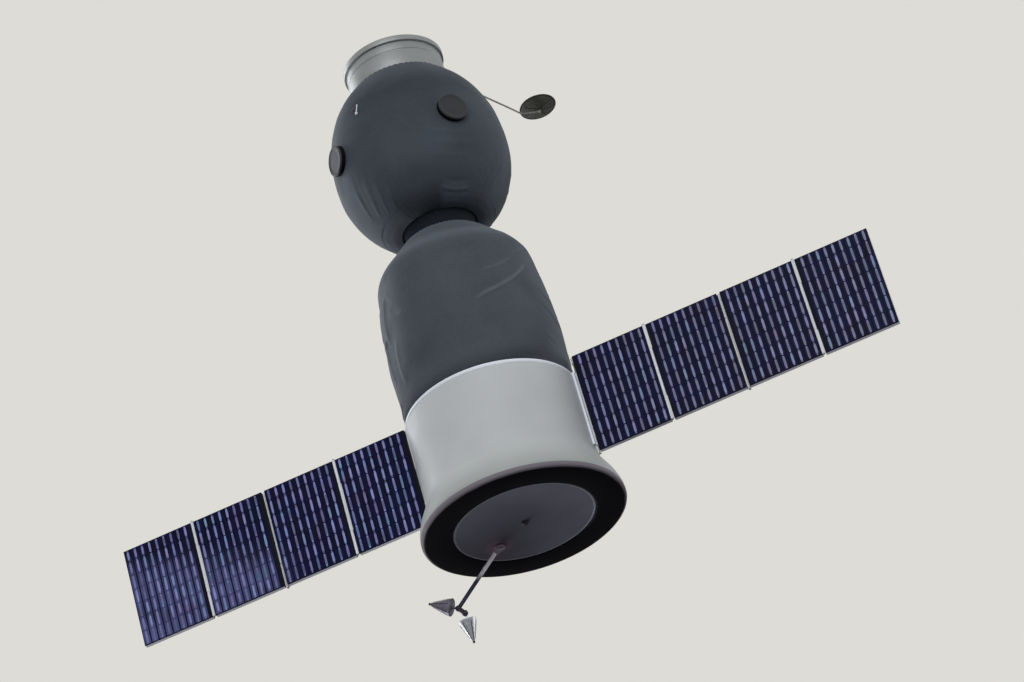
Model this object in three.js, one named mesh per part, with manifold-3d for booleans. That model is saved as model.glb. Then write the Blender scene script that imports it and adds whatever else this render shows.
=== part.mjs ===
import * as THREE from 'three';
import { mergeVertices } from 'three/addons/utils/BufferGeometryUtils.js';
import Module from 'manifold-3d';

// Crew spacecraft display model at 1:10, hung by its docking face
// Millimetres, +Z towards the docking end, +X along the right wing, origin on the docking face

const wasm = await Module();
wasm.setup();

// Driving dimensions. Heights h rise from the aft end and at(h) turns them into z
const HEIGHT = 740;
const GAP = 0.3;
const at = (h) => h - HEIGHT;

// Aft ring, disc and service cylinder
const RING_R = 136.5;
const RING_INNER_R = 95.2;
const RING_FACE_H = -3;
const RING_TOP_H = 4;
const RING_LIP_R = 4.5;
const DISC_R = 94.9;
const DISC_H = -1.5;
const BOLT_R = 5;
const BOLT_PROUD = 4;
const SKIRT_TOP_H = 62;
const SKIRT_FOOT_R = 136;
const BODY_R = 116.6;
const RIM_H = 168;
const BODY_TOP_H = 174.5;
const RIM_INNER_R = 96;
const RIM_EDGE_R = 2.5;

// Descent module, neck and orbital module
const BELL_FOOT_R = 113.8;
const BELL_TOP_H = 438;
const BELL_TOP_R = 54;
const NECK_R = 50;
const ORBITAL_FOOT_H = 462;
const ORBITAL_TOP_H = 700;
const ORBITAL_EQUATOR_H = 565;
const ORBITAL_R = 120;
const ORBITAL_LOW_AXIS = 125;
const ORBITAL_HIGH_AXIS = 175;

// Docking collar and ring
const COLLAR_R = 67;
const DOCK_RING_R = 70;
const DOCK_RING_THICK = 9;
const DOCK_GROOVE_IN_R = 42;
const DOCK_GROOVE_OUT_R = 50;
const DOCK_GROOVE_DEPTH = 3;

// Port covers, lamp and antennas
const PORT_R = 20.7;
const PORT_LIP = 3;
const PORT_PROUD = 7.5;
const PORT_H = 572.5;
const DISH_R = 26;
const DISH_DEPTH = 5;
const DISH_WALL = 1.6;
const DISH_HUB_R = 3.5;
const DISH_HUB = 2.5;
const BOOM_R = 1.3;
const BOOM_BOSS_R = 4;
const BOOM_BOSS = 5;
const BOOM_ROOT = 14;
const DISH_KNOB_R = 2.4;
const LAMP_R = 2.2;
const AFT_BOOM_R = 2.6;
const SOCKET_R = 4.5;
const SOCKET_LENGTH = 11;
const KNOB_R = 4.3;
const BRACKET_R = 2.6;
const CONE_R = 12;
const CONE_LENGTH = 30;
const CONE_STEM = 4;
const CONE_STEM_R = 1.6;
const CONE_TIP_R = 1.4;

// Wings: four panels a side on full-length barrel hinges
const PANELS = 4;
const PANEL_W = 101.25;
const PANEL_T = 7;
const CHORD = 145;
const WING_FOOT_H = 50.5;
const HINGE_GAP = 4.7;
const ROOT_AXIS_X = 120.45;
const AXIS_PROUD = 0.4;
const BARREL_R = 1.9;
const PIN_R = 1;
const BORE_R = 1.15;
const BARREL_END_GAP = 0.4;
const BARREL_SIDE_GAP = 0.5;
const PIN_HEAD_R = 1.7;
const PIN_HEAD = 0.9;
const WEB_GRIP = 1.5;
const PITCH = PANEL_W + HINGE_GAP;
const AXIS_Y = PANEL_T / 2 + AXIS_PROUD;

const ROUND = 48;
const SMALL_ROUND = 24;
const TINY_ROUND = 12;

function finish(color, roughness, metalness) {
  return new THREE.MeshStandardMaterial({ color, roughness, metalness });
}

const finishes = {
  fabric: finish(0x3f464b, 0.85, 0),
  neck: finish(0x24282b, 0.8, 0),
  white: finish(0xbfc1c4, 0.45, 0),
  rim: finish(0xd9dade, 0.4, 0),
  black: finish(0x131218, 0.6, 0),
  disc: finish(0x3b3944, 0.5, 0.1),
  collar: finish(0xa6a8a4, 0.5, 0.2),
  steel: finish(0x8c8c90, 0.35, 0.9),
  dark: finish(0x2a2a2c, 0.6, 0.3),
  chrome: finish(0xc9cacc, 0.15, 1),
  dish: finish(0x4a4a44, 0.7, 0.1),
  pale: finish(0xb5b2aa, 0.6, 0.1),
  cells: finish(0x1f2248, 0.4, 0.1),
  port: finish(0x45423f, 0.8, 0),
};

// Geometry helpers

function outward(geometry) {
  // Turns every face round where the enclosed volume comes out negative
  const index = geometry.index;
  const position = geometry.attributes.position;
  const [a, b, c] = [new THREE.Vector3(), new THREE.Vector3(), new THREE.Vector3()];
  let volume = 0;
  for (let i = 0; i < index.count; i += 3) {
    a.fromBufferAttribute(position, index.getX(i));
    b.fromBufferAttribute(position, index.getX(i + 1));
    c.fromBufferAttribute(position, index.getX(i + 2));
    volume += a.dot(b.cross(c));
  }
  if (volume < 0) {
    for (let i = 0; i < index.count; i += 3) {
      const first = index.getX(i);
      index.setX(i, index.getX(i + 1));
      index.setX(i + 1, first);
    }
  }
  return geometry;
}

function bare(geometry) {
  // Keeps positions only, merges shared vertices and drops triangles with no area
  const plain = geometry.clone();
  plain.deleteAttribute('normal');
  plain.deleteAttribute('uv');
  const merged = mergeVertices(plain, 1e-5);
  const kept = [];
  for (let i = 0; i < merged.index.count; i += 3) {
    const [p, q, r] = [merged.index.getX(i), merged.index.getX(i + 1), merged.index.getX(i + 2)];
    if (p !== q && q !== r && r !== p) kept.push(p, q, r);
  }
  merged.setIndex(kept);
  return outward(merged);
}

function toSolid(geometry) {
  const closed = bare(geometry);
  return new wasm.Manifold(new wasm.Mesh({
    numProp: 3,
    vertProperties: new Float32Array(closed.attributes.position.array),
    triVerts: new Uint32Array(closed.index.array),
  }));
}

function fromSolid(solid) {
  const mesh = solid.getMesh();
  const geometry = new THREE.BufferGeometry();
  geometry.setAttribute('position', new THREE.BufferAttribute(new Float32Array(mesh.vertProperties), 3));
  geometry.setIndex(new THREE.BufferAttribute(new Uint32Array(mesh.triVerts), 1));
  return geometry;
}

function turned(profile, segments = ROUND) {
  // Revolves [radius, height] points about Z
  const points = profile.map(([r, h]) => new THREE.Vector2(r, h));
  return bare(new THREE.LatheGeometry(points, segments).rotateX(Math.PI / 2));
}

function rod(from, to, radius, segments = TINY_ROUND) {
  // Round bar between two points
  const along = to.clone().sub(from);
  const bar = new THREE.CylinderGeometry(radius, radius, along.length(), segments);
  const upright = new THREE.Vector3(0, 1, 0);
  const turn = new THREE.Quaternion().setFromUnitVectors(upright, along.clone().normalize());
  const middle = from.clone().add(to).multiplyScalar(0.5);
  return bar.applyQuaternion(turn).translate(middle.x, middle.y, middle.z);
}

function ball(centre, radius) {
  return new THREE.SphereGeometry(radius, 16, 12).translate(centre.x, centre.y, centre.z);
}

function block([x0, x1], [y0, y1], [z0, z1]) {
  const box = new THREE.BoxGeometry(Math.abs(x1 - x0), Math.abs(y1 - y0), Math.abs(z1 - z0));
  return box.translate((x0 + x1) / 2, (y0 + y1) / 2, (z0 + z1) / 2);
}

function arc(r, h, radius, fromDeg, toDeg, steps) {
  // Points on a circle in the profile plane
  const points = [];
  for (let i = 0; i <= steps; i += 1) {
    const a = THREE.MathUtils.degToRad(fromDeg + (toDeg - fromDeg) * i / steps);
    points.push([r + radius * Math.cos(a), h + radius * Math.sin(a)]);
  }
  return points;
}

function polar(azimuthDeg, radius, z) {
  const a = THREE.MathUtils.degToRad(azimuthDeg);
  return new THREE.Vector3(radius * Math.cos(a), radius * Math.sin(a), z);
}

function aimed(geometry, place, direction) {
  // Turns a piece made along +Z to point along a direction, then sets it in place
  const forward = new THREE.Vector3(0, 0, 1);
  const turn = new THREE.Quaternion().setFromUnitVectors(forward, direction.clone().normalize());
  return geometry.applyQuaternion(turn).translate(place.x, place.y, place.z);
}

const craft = new THREE.Group();

function add(name, geometry, material, parent = craft) {
  const mesh = new THREE.Mesh(geometry, material);
  mesh.name = name;
  parent.add(mesh);
  return mesh;
}

// Aft end

function aftEnd() {
  const lip = arc(RING_R - RING_LIP_R, at(RING_FACE_H + RING_LIP_R), RING_LIP_R, -90, 0, 5);
  add('base_ring', turned([
    [RING_INNER_R, at(RING_FACE_H)], ...lip, [RING_R, at(RING_TOP_H)],
    [RING_INNER_R, at(RING_TOP_H)], [RING_INNER_R, at(RING_FACE_H)],
  ]), finishes.black);
  add('aft_disc', turned([
    [0, at(DISC_H)], [DISC_R - 1, at(DISC_H)], [DISC_R, at(DISC_H + 1)],
    [DISC_R, at(RING_TOP_H)], [0, at(RING_TOP_H)],
  ]), finishes.disc);
  const boltFoot = at(DISC_H) - GAP;
  add('disc_bolt', turned([
    [0, boltFoot - BOLT_PROUD], [BOLT_R - 1, boltFoot - BOLT_PROUD],
    [BOLT_R, boltFoot - BOLT_PROUD + 1], [BOLT_R, boltFoot], [0, boltFoot],
  ], SMALL_ROUND), finishes.dark);
}

// Service module: flared skirt, cylinder and bright top rim

function serviceModule() {
  // Skirt rows: radius, height
  const sweep = [[136, 8], [134.4, 14], [131.5, 22], [127.5, 30], [122.5, 40], [118.6, 50]];
  add('flare_skirt', turned([
    [0, at(RING_TOP_H) + GAP], [SKIRT_FOOT_R, at(RING_TOP_H) + GAP],
    ...sweep.map(([r, h]) => [r, at(h)]), [BODY_R, at(SKIRT_TOP_H)], [0, at(SKIRT_TOP_H)],
  ]), finishes.white);
  add('service_cylinder', turned([
    [0, at(SKIRT_TOP_H) + GAP], [BODY_R, at(SKIRT_TOP_H) + GAP], [BODY_R, at(RIM_H)],
    [RIM_INNER_R - GAP, at(RIM_H)], [RIM_INNER_R - GAP, at(BODY_TOP_H)], [0, at(BODY_TOP_H)],
  ]), finishes.white);
  const edge = arc(BODY_R - RIM_EDGE_R, at(BODY_TOP_H - RIM_EDGE_R), RIM_EDGE_R, 0, 90, 4);
  add('service_rim', turned([
    [RIM_INNER_R, at(RIM_H) + GAP], [BODY_R, at(RIM_H) + GAP], ...edge,
    [RIM_INNER_R, at(BODY_TOP_H)], [RIM_INNER_R, at(RIM_H) + GAP],
  ]), finishes.rim);
}

// Descent module under its fabric cover

function descentModule() {
  // Cover rows: radius, height
  const cover = [
    [114.8, 188], [114.9, 212], [116, 240], [116.2, 265], [115, 290], [113.3, 312], [111.2, 332],
    [108.8, 352], [107.2, 368], [104.8, 381], [99.2, 391], [91, 400.5], [82, 410], [73, 420], [64, 430],
  ];
  add('descent_module', turned([
    [0, at(BODY_TOP_H) + GAP], [BELL_FOOT_R, at(BODY_TOP_H) + GAP], ...cover.map(([r, h]) => [r, at(h)]),
    [BELL_TOP_R, at(BELL_TOP_H)], [0, at(BELL_TOP_H)],
  ]), finishes.fabric);
  add('neck_ring', turned([
    [0, at(BELL_TOP_H) + GAP], [NECK_R, at(BELL_TOP_H) + GAP], [NECK_R, at(ORBITAL_FOOT_H) - GAP],
    [0, at(ORBITAL_FOOT_H) - GAP],
  ]), finishes.neck);
}

// Orbital module: two half ellipses that share an equator, cut flat at both ends

function orbitalProfile(grow = 0) {
  const rows = 16;
  const points = [[0, at(ORBITAL_FOOT_H) - grow]];
  for (let i = 0; i <= rows; i += 1) {
    const h = ORBITAL_FOOT_H + (ORBITAL_TOP_H - ORBITAL_FOOT_H) * i / rows;
    const axis = h < ORBITAL_EQUATOR_H ? ORBITAL_LOW_AXIS : ORBITAL_HIGH_AXIS;
    const rise = (h - ORBITAL_EQUATOR_H) / axis;
    const end = i === 0 ? -grow : i === rows ? grow : 0;
    points.push([ORBITAL_R * Math.sqrt(1 - rise * rise) + grow, at(h) + end]);
  }
  points.push([0, at(ORBITAL_TOP_H) + grow]);
  return points;
}

const orbitalSeat = toSolid(turned(orbitalProfile(GAP)));
const collarSeat = toSolid(turned([
  [0, at(ORBITAL_TOP_H)], [COLLAR_R + GAP, at(ORBITAL_TOP_H)], [COLLAR_R + GAP, 0], [0, 0],
]));

function seated(geometry, seat = orbitalSeat) {
  // Cuts a fitting back to the skin that carries it
  return fromSolid(toSolid(geometry).subtract(seat));
}

function portCover(azimuth) {
  const face = ORBITAL_R + PORT_PROUD;
  const cover = turned([
    [0, ORBITAL_R - 8], [PORT_R, ORBITAL_R - 8], [PORT_R, face - 2], [PORT_R - 2, face],
    [PORT_R - PORT_LIP - 2, face], [PORT_R - PORT_LIP - 3, face - 1.5], [0, face - 1.5],
  ], SMALL_ROUND);
  const centre = new THREE.Vector3(0, 0, at(PORT_H));
  return seated(aimed(cover, centre, polar(azimuth, 1, 0)));
}

function orbitalModule() {
  add('orbital_module', turned(orbitalProfile()), finishes.fabric);
  for (const [name, azimuth] of [['right', -46], ['left', -136], ['rear', 134]]) {
    add(`port_cover_${name}`, portCover(azimuth), finishes.port);
  }
  const lampFoot = polar(-110, 100, at(615));
  const lampTip = polar(-110, 120, at(621));
  add('signal_lamp', seated(rod(lampFoot, lampTip, LAMP_R)), finishes.rim);
}

// Dish antennas on thin booms

function dishBowl() {
  // Shallow bowl opening along +Z, with a hub behind it
  const curve = (r) => DISH_DEPTH * (r / DISH_R) ** 2;
  const radii = [0.4, 0.7, 1].map((share) => DISH_R * share);
  const back = radii.map((r) => [r, curve(r)]);
  const front = radii.toReversed().map((r) => [r, curve(r) + DISH_WALL]);
  return turned([
    [0, -DISH_HUB], [DISH_HUB_R, -DISH_HUB], [DISH_HUB_R, 0], ...back, ...front, [0, DISH_WALL],
  ], SMALL_ROUND);
}

function dishAntenna({ name, material, path, centre, facing, seat }) {
  // The boom runs from its boss on the skin along the path to a knob behind the dish's hub
  const look = facing.clone().normalize();
  const joint = centre.clone().addScaledVector(look, -DISH_HUB - GAP);
  add(`${name}_dish`, aimed(dishBowl(), centre, look), material);
  const knobCentre = joint.clone().addScaledVector(look, -DISH_KNOB_R / 2);
  const along = path[1].clone().sub(path[0]).normalize();
  const inside = path[0].clone().addScaledVector(along, -BOOM_ROOT);
  const bossEnd = path[0].clone().addScaledVector(along, BOOM_BOSS);
  let boom = toSolid(rod(inside, bossEnd, BOOM_BOSS_R));
  const points = [inside, ...path.slice(1), knobCentre];
  for (let i = 1; i < points.length; i += 1) boom = boom.add(toSolid(rod(points[i - 1], points[i], BOOM_R)));
  for (const bend of points.slice(1, -1)) boom = boom.add(toSolid(ball(bend, BOOM_R + GAP)));
  boom = boom.add(toSolid(ball(knobCentre, DISH_KNOB_R)));
  const hubSide = [[0, 0], [DISH_KNOB_R * 2, 0], [DISH_KNOB_R * 2, DISH_DEPTH], [0, DISH_DEPTH]];
  const hubSpace = toSolid(aimed(turned(hubSide, TINY_ROUND), joint, look));
  add(`${name}_boom`, fromSolid(boom.subtract(hubSpace).subtract(seat)), finishes.dark);
}

function antennas() {
  dishAntenna({
    name: 'side',
    material: finishes.dish,
    path: [polar(40, COLLAR_R, at(718)), polar(40, 169, at(652))],
    centre: polar(40, 195.8, at(659)),
    facing: new THREE.Vector3(-0.054, 0.065, 1),
    seat: collarSeat,
  });
  dishAntenna({
    name: 'forward',
    material: finishes.pale,
    path: [polar(125, 90, at(678)), polar(125, 110, at(686))],
    centre: polar(125, 132, at(706)),
    facing: polar(125, 1, 1.2),
    seat: orbitalSeat,
  });
}

// Docking collar and ring

function dockingEnd() {
  add('docking_collar', turned([
    [0, at(ORBITAL_TOP_H) + GAP], [COLLAR_R, at(ORBITAL_TOP_H) + GAP],
    [COLLAR_R, -DOCK_RING_THICK - GAP], [0, -DOCK_RING_THICK - GAP],
  ]), finishes.collar);
  add('docking_ring', turned([
    [0, -DOCK_RING_THICK], [DOCK_RING_R, -DOCK_RING_THICK], [DOCK_RING_R, -1.5], [DOCK_RING_R - 1.5, 0],
    [DOCK_GROOVE_OUT_R, 0], [DOCK_GROOVE_OUT_R, -DOCK_GROOVE_DEPTH], [DOCK_GROOVE_IN_R, -DOCK_GROOVE_DEPTH],
    [DOCK_GROOVE_IN_R, 0], [0, 0],
  ]), finishes.collar);
}

// Aft boom with two cone antennas

function coneAntenna() {
  // Stem, flat base and cone along +Z, with a small blunt tip
  const base = CONE_STEM + 1.5;
  const tip = CONE_STEM + CONE_LENGTH;
  return turned([
    [0, 0], [CONE_STEM_R, 0], [CONE_STEM_R, CONE_STEM], [CONE_R, CONE_STEM], [CONE_R, base],
    [CONE_TIP_R, tip], [CONE_TIP_R, tip + 2], [0, tip + 2],
  ], SMALL_ROUND);
}

function aftBoom() {
  // Foot on the disc, then the two ends of the cross bracket that the boom carries
  const foot = new THREE.Vector3(-50.9, 34, at(DISC_H));
  const boomEnd = new THREE.Vector3(-118.8, 10, at(-73.9));
  const farEnd = new THREE.Vector3(-112.1, 10, at(-83.8));
  const along = boomEnd.clone().sub(foot).normalize();
  const socketEnd = foot.clone().addScaledVector(along, SOCKET_LENGTH);
  const socket = rod(foot.clone().addScaledVector(along, -8), socketEnd, SOCKET_R, SMALL_ROUND);
  const discSide = block([foot.x - 15, foot.x + 15], [foot.y - 15, foot.y + 15], [foot.z - GAP, foot.z + 20]);
  add('boom_socket', fromSolid(toSolid(socket).subtract(toSolid(discSide))), finishes.dark);
  const start = foot.clone().addScaledVector(along, SOCKET_LENGTH + GAP);
  const end = boomEnd.clone().addScaledVector(along, -KNOB_R - GAP);
  add('aft_boom', rod(start, end, AFT_BOOM_R), finishes.steel);
  const bar = toSolid(rod(boomEnd, farEnd, BRACKET_R));
  const bracket = bar.add(toSolid(ball(boomEnd, KNOB_R))).add(toSolid(ball(farEnd, KNOB_R)));
  add('boom_bracket', fromSolid(bracket), finishes.dark);
  const heads = [
    ['outboard_cone', finishes.dark, boomEnd, new THREE.Vector3(-0.86, -0.16, 0.48)],
    ['aft_cone', finishes.chrome, farEnd, new THREE.Vector3(-0.05, 0.29, -0.95)],
  ];
  for (const [name, material, centre, direction] of heads) {
    const stemFoot = centre.clone().addScaledVector(direction.clone().normalize(), KNOB_R + GAP);
    add(name, aimed(coneAntenna(), stemFoot, direction), material);
  }
}

// Wings

function barrel(x, y, [z0, z1], toward, faceSide) {
  // One hinge barrel on the axis (x, y) with the web that holds it to the panel's edge
  const tube = rod(new THREE.Vector3(x, y, z0), new THREE.Vector3(x, y, z1), BARREL_R);
  const reach = x + toward * (HINGE_GAP / 2 + 0.5);
  const web = block([x, reach], [y, y - faceSide * (AXIS_PROUD + WEB_GRIP)], [z0, z1]);
  return toSolid(tube).add(toSolid(web));
}

function bore(x, y) {
  const [low, high] = [new THREE.Vector3(x, y, -5), new THREE.Vector3(x, y, CHORD + 5)];
  return toSolid(rod(low, high, BORE_R));
}

// Barrel spans along the chord: the inner piece's, then the outer piece's
const between = [CHORD * 0.25, CHORD * 0.75];
const half = BARREL_END_GAP / 2;
const panelHinge = {
  inner: [[0, between[0] - half], [between[1] + half, CHORD]],
  outer: [[between[0] + half, between[1] - half]],
};
const rootHinge = {
  inner: [[0, 36.5], [87.7, BODY_TOP_H - WING_FOOT_H - 1]],
  outer: [[36.9, 87.3], [137.5, CHORD]],
};

// Each axis lies just outside one face: the root's at the back, then front and back in turn
const axisFace = (hinge) => (hinge % 2 === 0 ? 1 : -1);

function panel(side, number) {
  // Panel in its own frame: origin on the inner axis, at the aft edge
  const inFace = axisFace(number - 1);
  const outFace = axisFace(number);
  const middle = -inFace * AXIS_Y;
  const outY = middle + outFace * AXIS_Y;
  const [x0, x1] = [side * HINGE_GAP / 2, side * (HINGE_GAP / 2 + PANEL_W)];
  let solid = toSolid(block([x0, x1], [middle - PANEL_T / 2, middle + PANEL_T / 2], [0, CHORD]));
  const spans = (number === 1 ? rootHinge : panelHinge).outer;
  for (const span of spans) solid = solid.add(barrel(0, 0, span, side, inFace));
  solid = solid.subtract(bore(0, 0));
  if (number < PANELS) {
    for (const span of panelHinge.inner) solid = solid.add(barrel(side * PITCH, outY, span, -side, outFace));
    solid = solid.subtract(bore(side * PITCH, outY));
  }
  return { geometry: fromSolid(solid), outY };
}

function hingePin() {
  const ends = [-GAP - PIN_HEAD, CHORD + GAP + PIN_HEAD];
  return turned([
    [0, ends[0]], [PIN_HEAD_R, ends[0]], [PIN_HEAD_R, -GAP], [PIN_R, -GAP], [PIN_R, CHORD + GAP],
    [PIN_HEAD_R, CHORD + GAP], [PIN_HEAD_R, ends[1]], [0, ends[1]],
  ], TINY_ROUND);
}

function rootRail(side) {
  // Rail on the cylinder's side that carries the root axis
  const top = BODY_TOP_H - WING_FOOT_H - 1;
  const inner = -(ROOT_AXIS_X - BODY_R) - 6;
  let solid = toSolid(block([side * inner, side * -1], [-AXIS_Y - 3, -AXIS_PROUD], [12, top]));
  for (const [low, high] of rootHinge.inner) {
    const span = [Math.max(low, 12), high];
    solid = solid.add(barrel(0, 0, span, -side, 1));
  }
  for (const [low, high] of rootHinge.outer) {
    const ends = [low - BARREL_END_GAP, high + BARREL_END_GAP].map((z) => new THREE.Vector3(0, 0, z));
    const clear = rod(...ends, BARREL_R + BARREL_SIDE_GAP);
    solid = solid.subtract(toSolid(clear));
  }
  const body = turned([
    [0, -40], [BODY_R + GAP, -40], [BODY_R + GAP, CHORD + 40], [0, CHORD + 40],
  ]).translate(-side * ROOT_AXIS_X, -AXIS_Y, 0);
  return fromSolid(solid.subtract(toSolid(body)).subtract(bore(0, 0)));
}

function wing(name, side) {
  const root = new THREE.Group();
  root.position.set(side * ROOT_AXIS_X, AXIS_Y, at(WING_FOOT_H));
  craft.add(root);
  add(`root_rail_${name}`, rootRail(side), finishes.rim, root);
  let parent = root;
  for (let number = 1; number <= PANELS; number += 1) {
    const { geometry, outY } = panel(side, number);
    add(`panel_${name}_${number}`, geometry, finishes.cells, parent);
    add(`hinge_pin_${name}_${number}`, hingePin(), finishes.steel, parent);
    const next = new THREE.Group();
    next.position.set(side * PITCH, outY, 0);
    parent.add(next);
    parent = next;
  }
}

aftEnd();
serviceModule();
descentModule();
orbitalModule();
antennas();
dockingEnd();
aftBoom();
wing('right', 1);
wing('left', -1);

export default craft;
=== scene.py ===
"""Crew spacecraft display model at one tenth size, finished over its CAD frame."""

import functools
import math

import bpy
import numpy as np
from mathutils import Matrix, Vector, noise


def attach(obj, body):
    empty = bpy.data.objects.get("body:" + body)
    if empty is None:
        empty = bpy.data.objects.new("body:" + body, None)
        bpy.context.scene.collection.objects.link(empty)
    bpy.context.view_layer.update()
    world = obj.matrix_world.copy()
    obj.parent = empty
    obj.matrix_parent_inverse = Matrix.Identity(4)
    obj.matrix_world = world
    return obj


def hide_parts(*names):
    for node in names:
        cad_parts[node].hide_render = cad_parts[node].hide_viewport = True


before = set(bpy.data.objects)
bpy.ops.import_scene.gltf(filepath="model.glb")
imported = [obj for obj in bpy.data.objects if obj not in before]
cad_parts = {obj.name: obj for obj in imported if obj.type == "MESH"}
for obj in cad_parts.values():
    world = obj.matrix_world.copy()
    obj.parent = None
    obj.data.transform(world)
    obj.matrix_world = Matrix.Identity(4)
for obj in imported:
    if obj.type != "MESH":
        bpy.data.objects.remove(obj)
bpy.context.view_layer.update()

bl_info = {
    "name": "Crew Spacecraft Model",
    "version": (1, 0, 0),
    "blender": (4, 5, 0),
    "location": "View3D > Sidebar > Spacecraft",
    "description": "Cloth covers, hull, antennas and folding cell wings of a display model",
    "category": "Add Mesh",
}

# Lengths in the profiles are in mm, and heights rise from the aft end
MM = 0.001
HEIGHT = 740

# Segments of round forms, and the angle from which an edge stays sharp
FINE = 192
MEDIUM = 64
SMALL = 32
SHARP = math.radians(38)

# Shape of the covers: below the equator as in the CAD source, above it rounder, as measured in the photo
ORBITAL_R = 120
EQUATOR_H = 565
LOW_AXIS = 125
TOP_AXIS = 158
TOP_POWER = 2.4
TOP_ROOT = 1.6
COLLAR_FOOT_H = 690.3
BELL_ROWS = [
    (113.8, 175.0), (114.8, 188), (114.9, 212), (116, 240), (116.2, 265), (115, 290), (113.3, 312),
    (111.2, 332), (108.8, 352), (107.2, 368), (104.8, 381), (99.2, 391), (91, 400.5), (82, 410),
    (73, 420), (64, 430), (57, 436.2), (51.4, 438.6),
]
NECK_ROWS = [(49.4, 437.4), (48.6, 444), (48.2, 450), (48.6, 456), (49.4, 462)]

# Creases: azimuth and height of both ends, width, height in mm, and paleness. The paleness is painted light:
# along a crease's top it is a painted highlight, and below zero it is painted shade. Those without a height
# are broad patches
# of painted light: the sides that face the windows and the bell's top band and left side are painted lighter,
# the forward module's middle a little lighter, and painted shade lies towards the collar and the neck, over
# the bell's hem and on its right
ORBITAL_CREASES = [
    (-63, 474, -36, 473, 1.6, 1.1, 0.30), (-58, 480.5, -40, 480, 2.2, -0.7, 0.0),
    (-66, 545, -34, 540, 3.4, 0.35, 0.05), (-64, 528, -36, 524, 3.4, 0.3, 0.05),
    (-62, 511, -40, 508, 3.2, 0.3, 0.05), (-84, 600, -62, 606, 3.4, 0.3, 0.03),
    (-16, 480, -8, 514, 2.0, 0.8, 0.22), (-8, 482, 0, 520, 2.0, 0.8, 0.2),
    (-24, 476, -18, 500, 1.8, 0.6, 0.12), (2, 490, 8, 530, 2.4, 0.7, 0.15),
    (-132, 478, -122, 516, 2.2, 0.9, 0.3), (-122, 474, -114, 506, 2.0, 0.8, 0.26),
    (-112, 472, -106, 500, 2.0, 0.6, 0.16), (-142, 484, -134, 520, 2.4, 0.9, 0.28),
    (-127, 486, -119, 524, 1.8, 0.6, 0.2), (-137, 500, -130, 536, 1.8, 0.6, 0.2),
    (-141, 490, -139, 610, 17, 0, 0.32), (-1, 470, -1, 610, 17, 0, 0.32),
    (-98, 532, -50, 530, 24, 0, 0.16), (-120, 642, -15, 642, 30, 0, -0.58),
    (-112, 466, -64, 464, 15, 0, -0.75),
]
BELL_CREASES = [
    (-63, 275, -20, 331, 2.2, 1.9, 0.7), (-55, 317, -32, 338, 2.0, 1.0, 0.3),
    (-128, 320, -121, 306, 3.4, -1.2, 0.3), (-134, 352, -126, 330, 2.6, 0.6, 0.12),
    (-14, 276, -2, 262, 2.6, 1.3, 0.22), (-6, 262, 8, 254, 2.4, 1.2, 0.2),
    (-20, 224, -10, 214, 2.4, 0.9, 0.14), (-12, 300, 2, 288, 2.6, 1.0, 0.15),
    (-26, 352, -8, 372, 2.2, 0.8, 0.2), (-16, 340, 0, 362, 2.0, 0.7, 0.16),
    (-138, 348, -141, 284, 4.2, 1.9, 0.2), (-147, 300, -149, 232, 4.6, 2.0, 0.2),
    (-131, 272, -133, 212, 3.6, 1.1, 0.12), (-156, 352, -155, 300, 4.2, 1.6, 0.1),
    (-32, 424, -26, 408, 1.1, 0.5, 0.4), (-25, 424, -18, 409, 1.1, 0.5, 0.35),
    (-40, 426, -36, 414, 1.0, 0.4, 0.3),
    (-160, 410, 10, 410, 13, 0, 0.42), (-134, 225, -130, 375, 14, 0, 0.36),
    (-27, 185, -22, 310, 22, 0, -0.25), (-160, 183, -30, 183, 15, 0, -0.75),
]

# Hull radii and heights
RING_R = 136.5
RING_INNER_R = 95.2
RING_FACE_H = -3
RING_TOP_H = 4
DISC_R = 94.9
DISC_H = -1.5
BOLT_H = DISC_H - 0.8
SKIRT_R = 136
HULL_R = 116.6
RIM_H = 168
RIM_TOP_H = 174.5
RIM_INNER_R = 96
SKIRT_ROWS = [(136, 8), (134.4, 14), (131.5, 22), (127.5, 30), (122.5, 40), (118.6, 50), (116.6, 62)]
COLLAR_R = 67
DOCK_RING_R = 70

# Ports
PORT_R = 20.7
PORT_H = 572.5
PORT_FACE = 127.5
PORT_CLEARANCE = 1.2
PORTS = {"right": -46, "left": -136, "rear": 134}

# Antennas: dish bowls, and the places on the aft boom in mm from the docking face
DISH_R = 26
DISH_DEPTH = 5
AFT_BOOM_R = 2.6
BOOM_FOOT = Vector((-50.9, 34, DISC_H - HEIGHT))
BOOM_END = Vector((-118.8, 10, -73.9 - HEIGHT))
BRACKET_END = Vector((-112.1, 10, -83.8 - HEIGHT))

# Wings
PITCH = 105.95
ROOT_AXIS_X = 120.45
PANEL_W = 101.25
PANEL_HALF_T = 3.5
CHORD = 145
WING_FOOT_H = 50.5
HINGE_GAP = 4.7
BARREL_R = 1.9
PANELS = 4

# Cell fields: border along the chord, shift outwards from the panel's middle, and the first row's start
FIELD_BORDER = 0.8
FIELD_SHIFT = 2.05
FIRST_ROW = -1.3

# The photograph's viewpoint, turned to the craft's middle
CAMERA_PLACE = Vector((1.17552, -4.51583, -3.24581))
CAMERA_AIM = Vector((0.03721, 0.05757, -0.44900))
CAMERA_UP = Vector((0.3931, -0.4065, 0.8248))
CAMERA_LENS = 145
FLOOR_Z = -3.3
FLOOR_HALF = 40

# Bands of a wave texture of this scale lie 1 mm apart
WAVE = 314
SMOOTH = {"interpolation_type": "SMOOTHSTEP"}


def linear(code):
    """Linear RGBA of an sRGB hex colour"""
    parts = [int(code[i:i + 2], 16) / 255 for i in (1, 3, 5)]
    return [p / 12.92 if p <= 0.04045 else ((p + 0.055) / 1.055) ** 2.4 for p in parts] + [1.0]


def shade(value, factor):
    """A colour made lighter or darker"""
    return [min(1.0, c * factor) for c in value[:3]] + [1.0]


def at(h):
    """Height above the aft end, in mm, as z in metres"""
    return (h - HEIGHT) * MM


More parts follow.
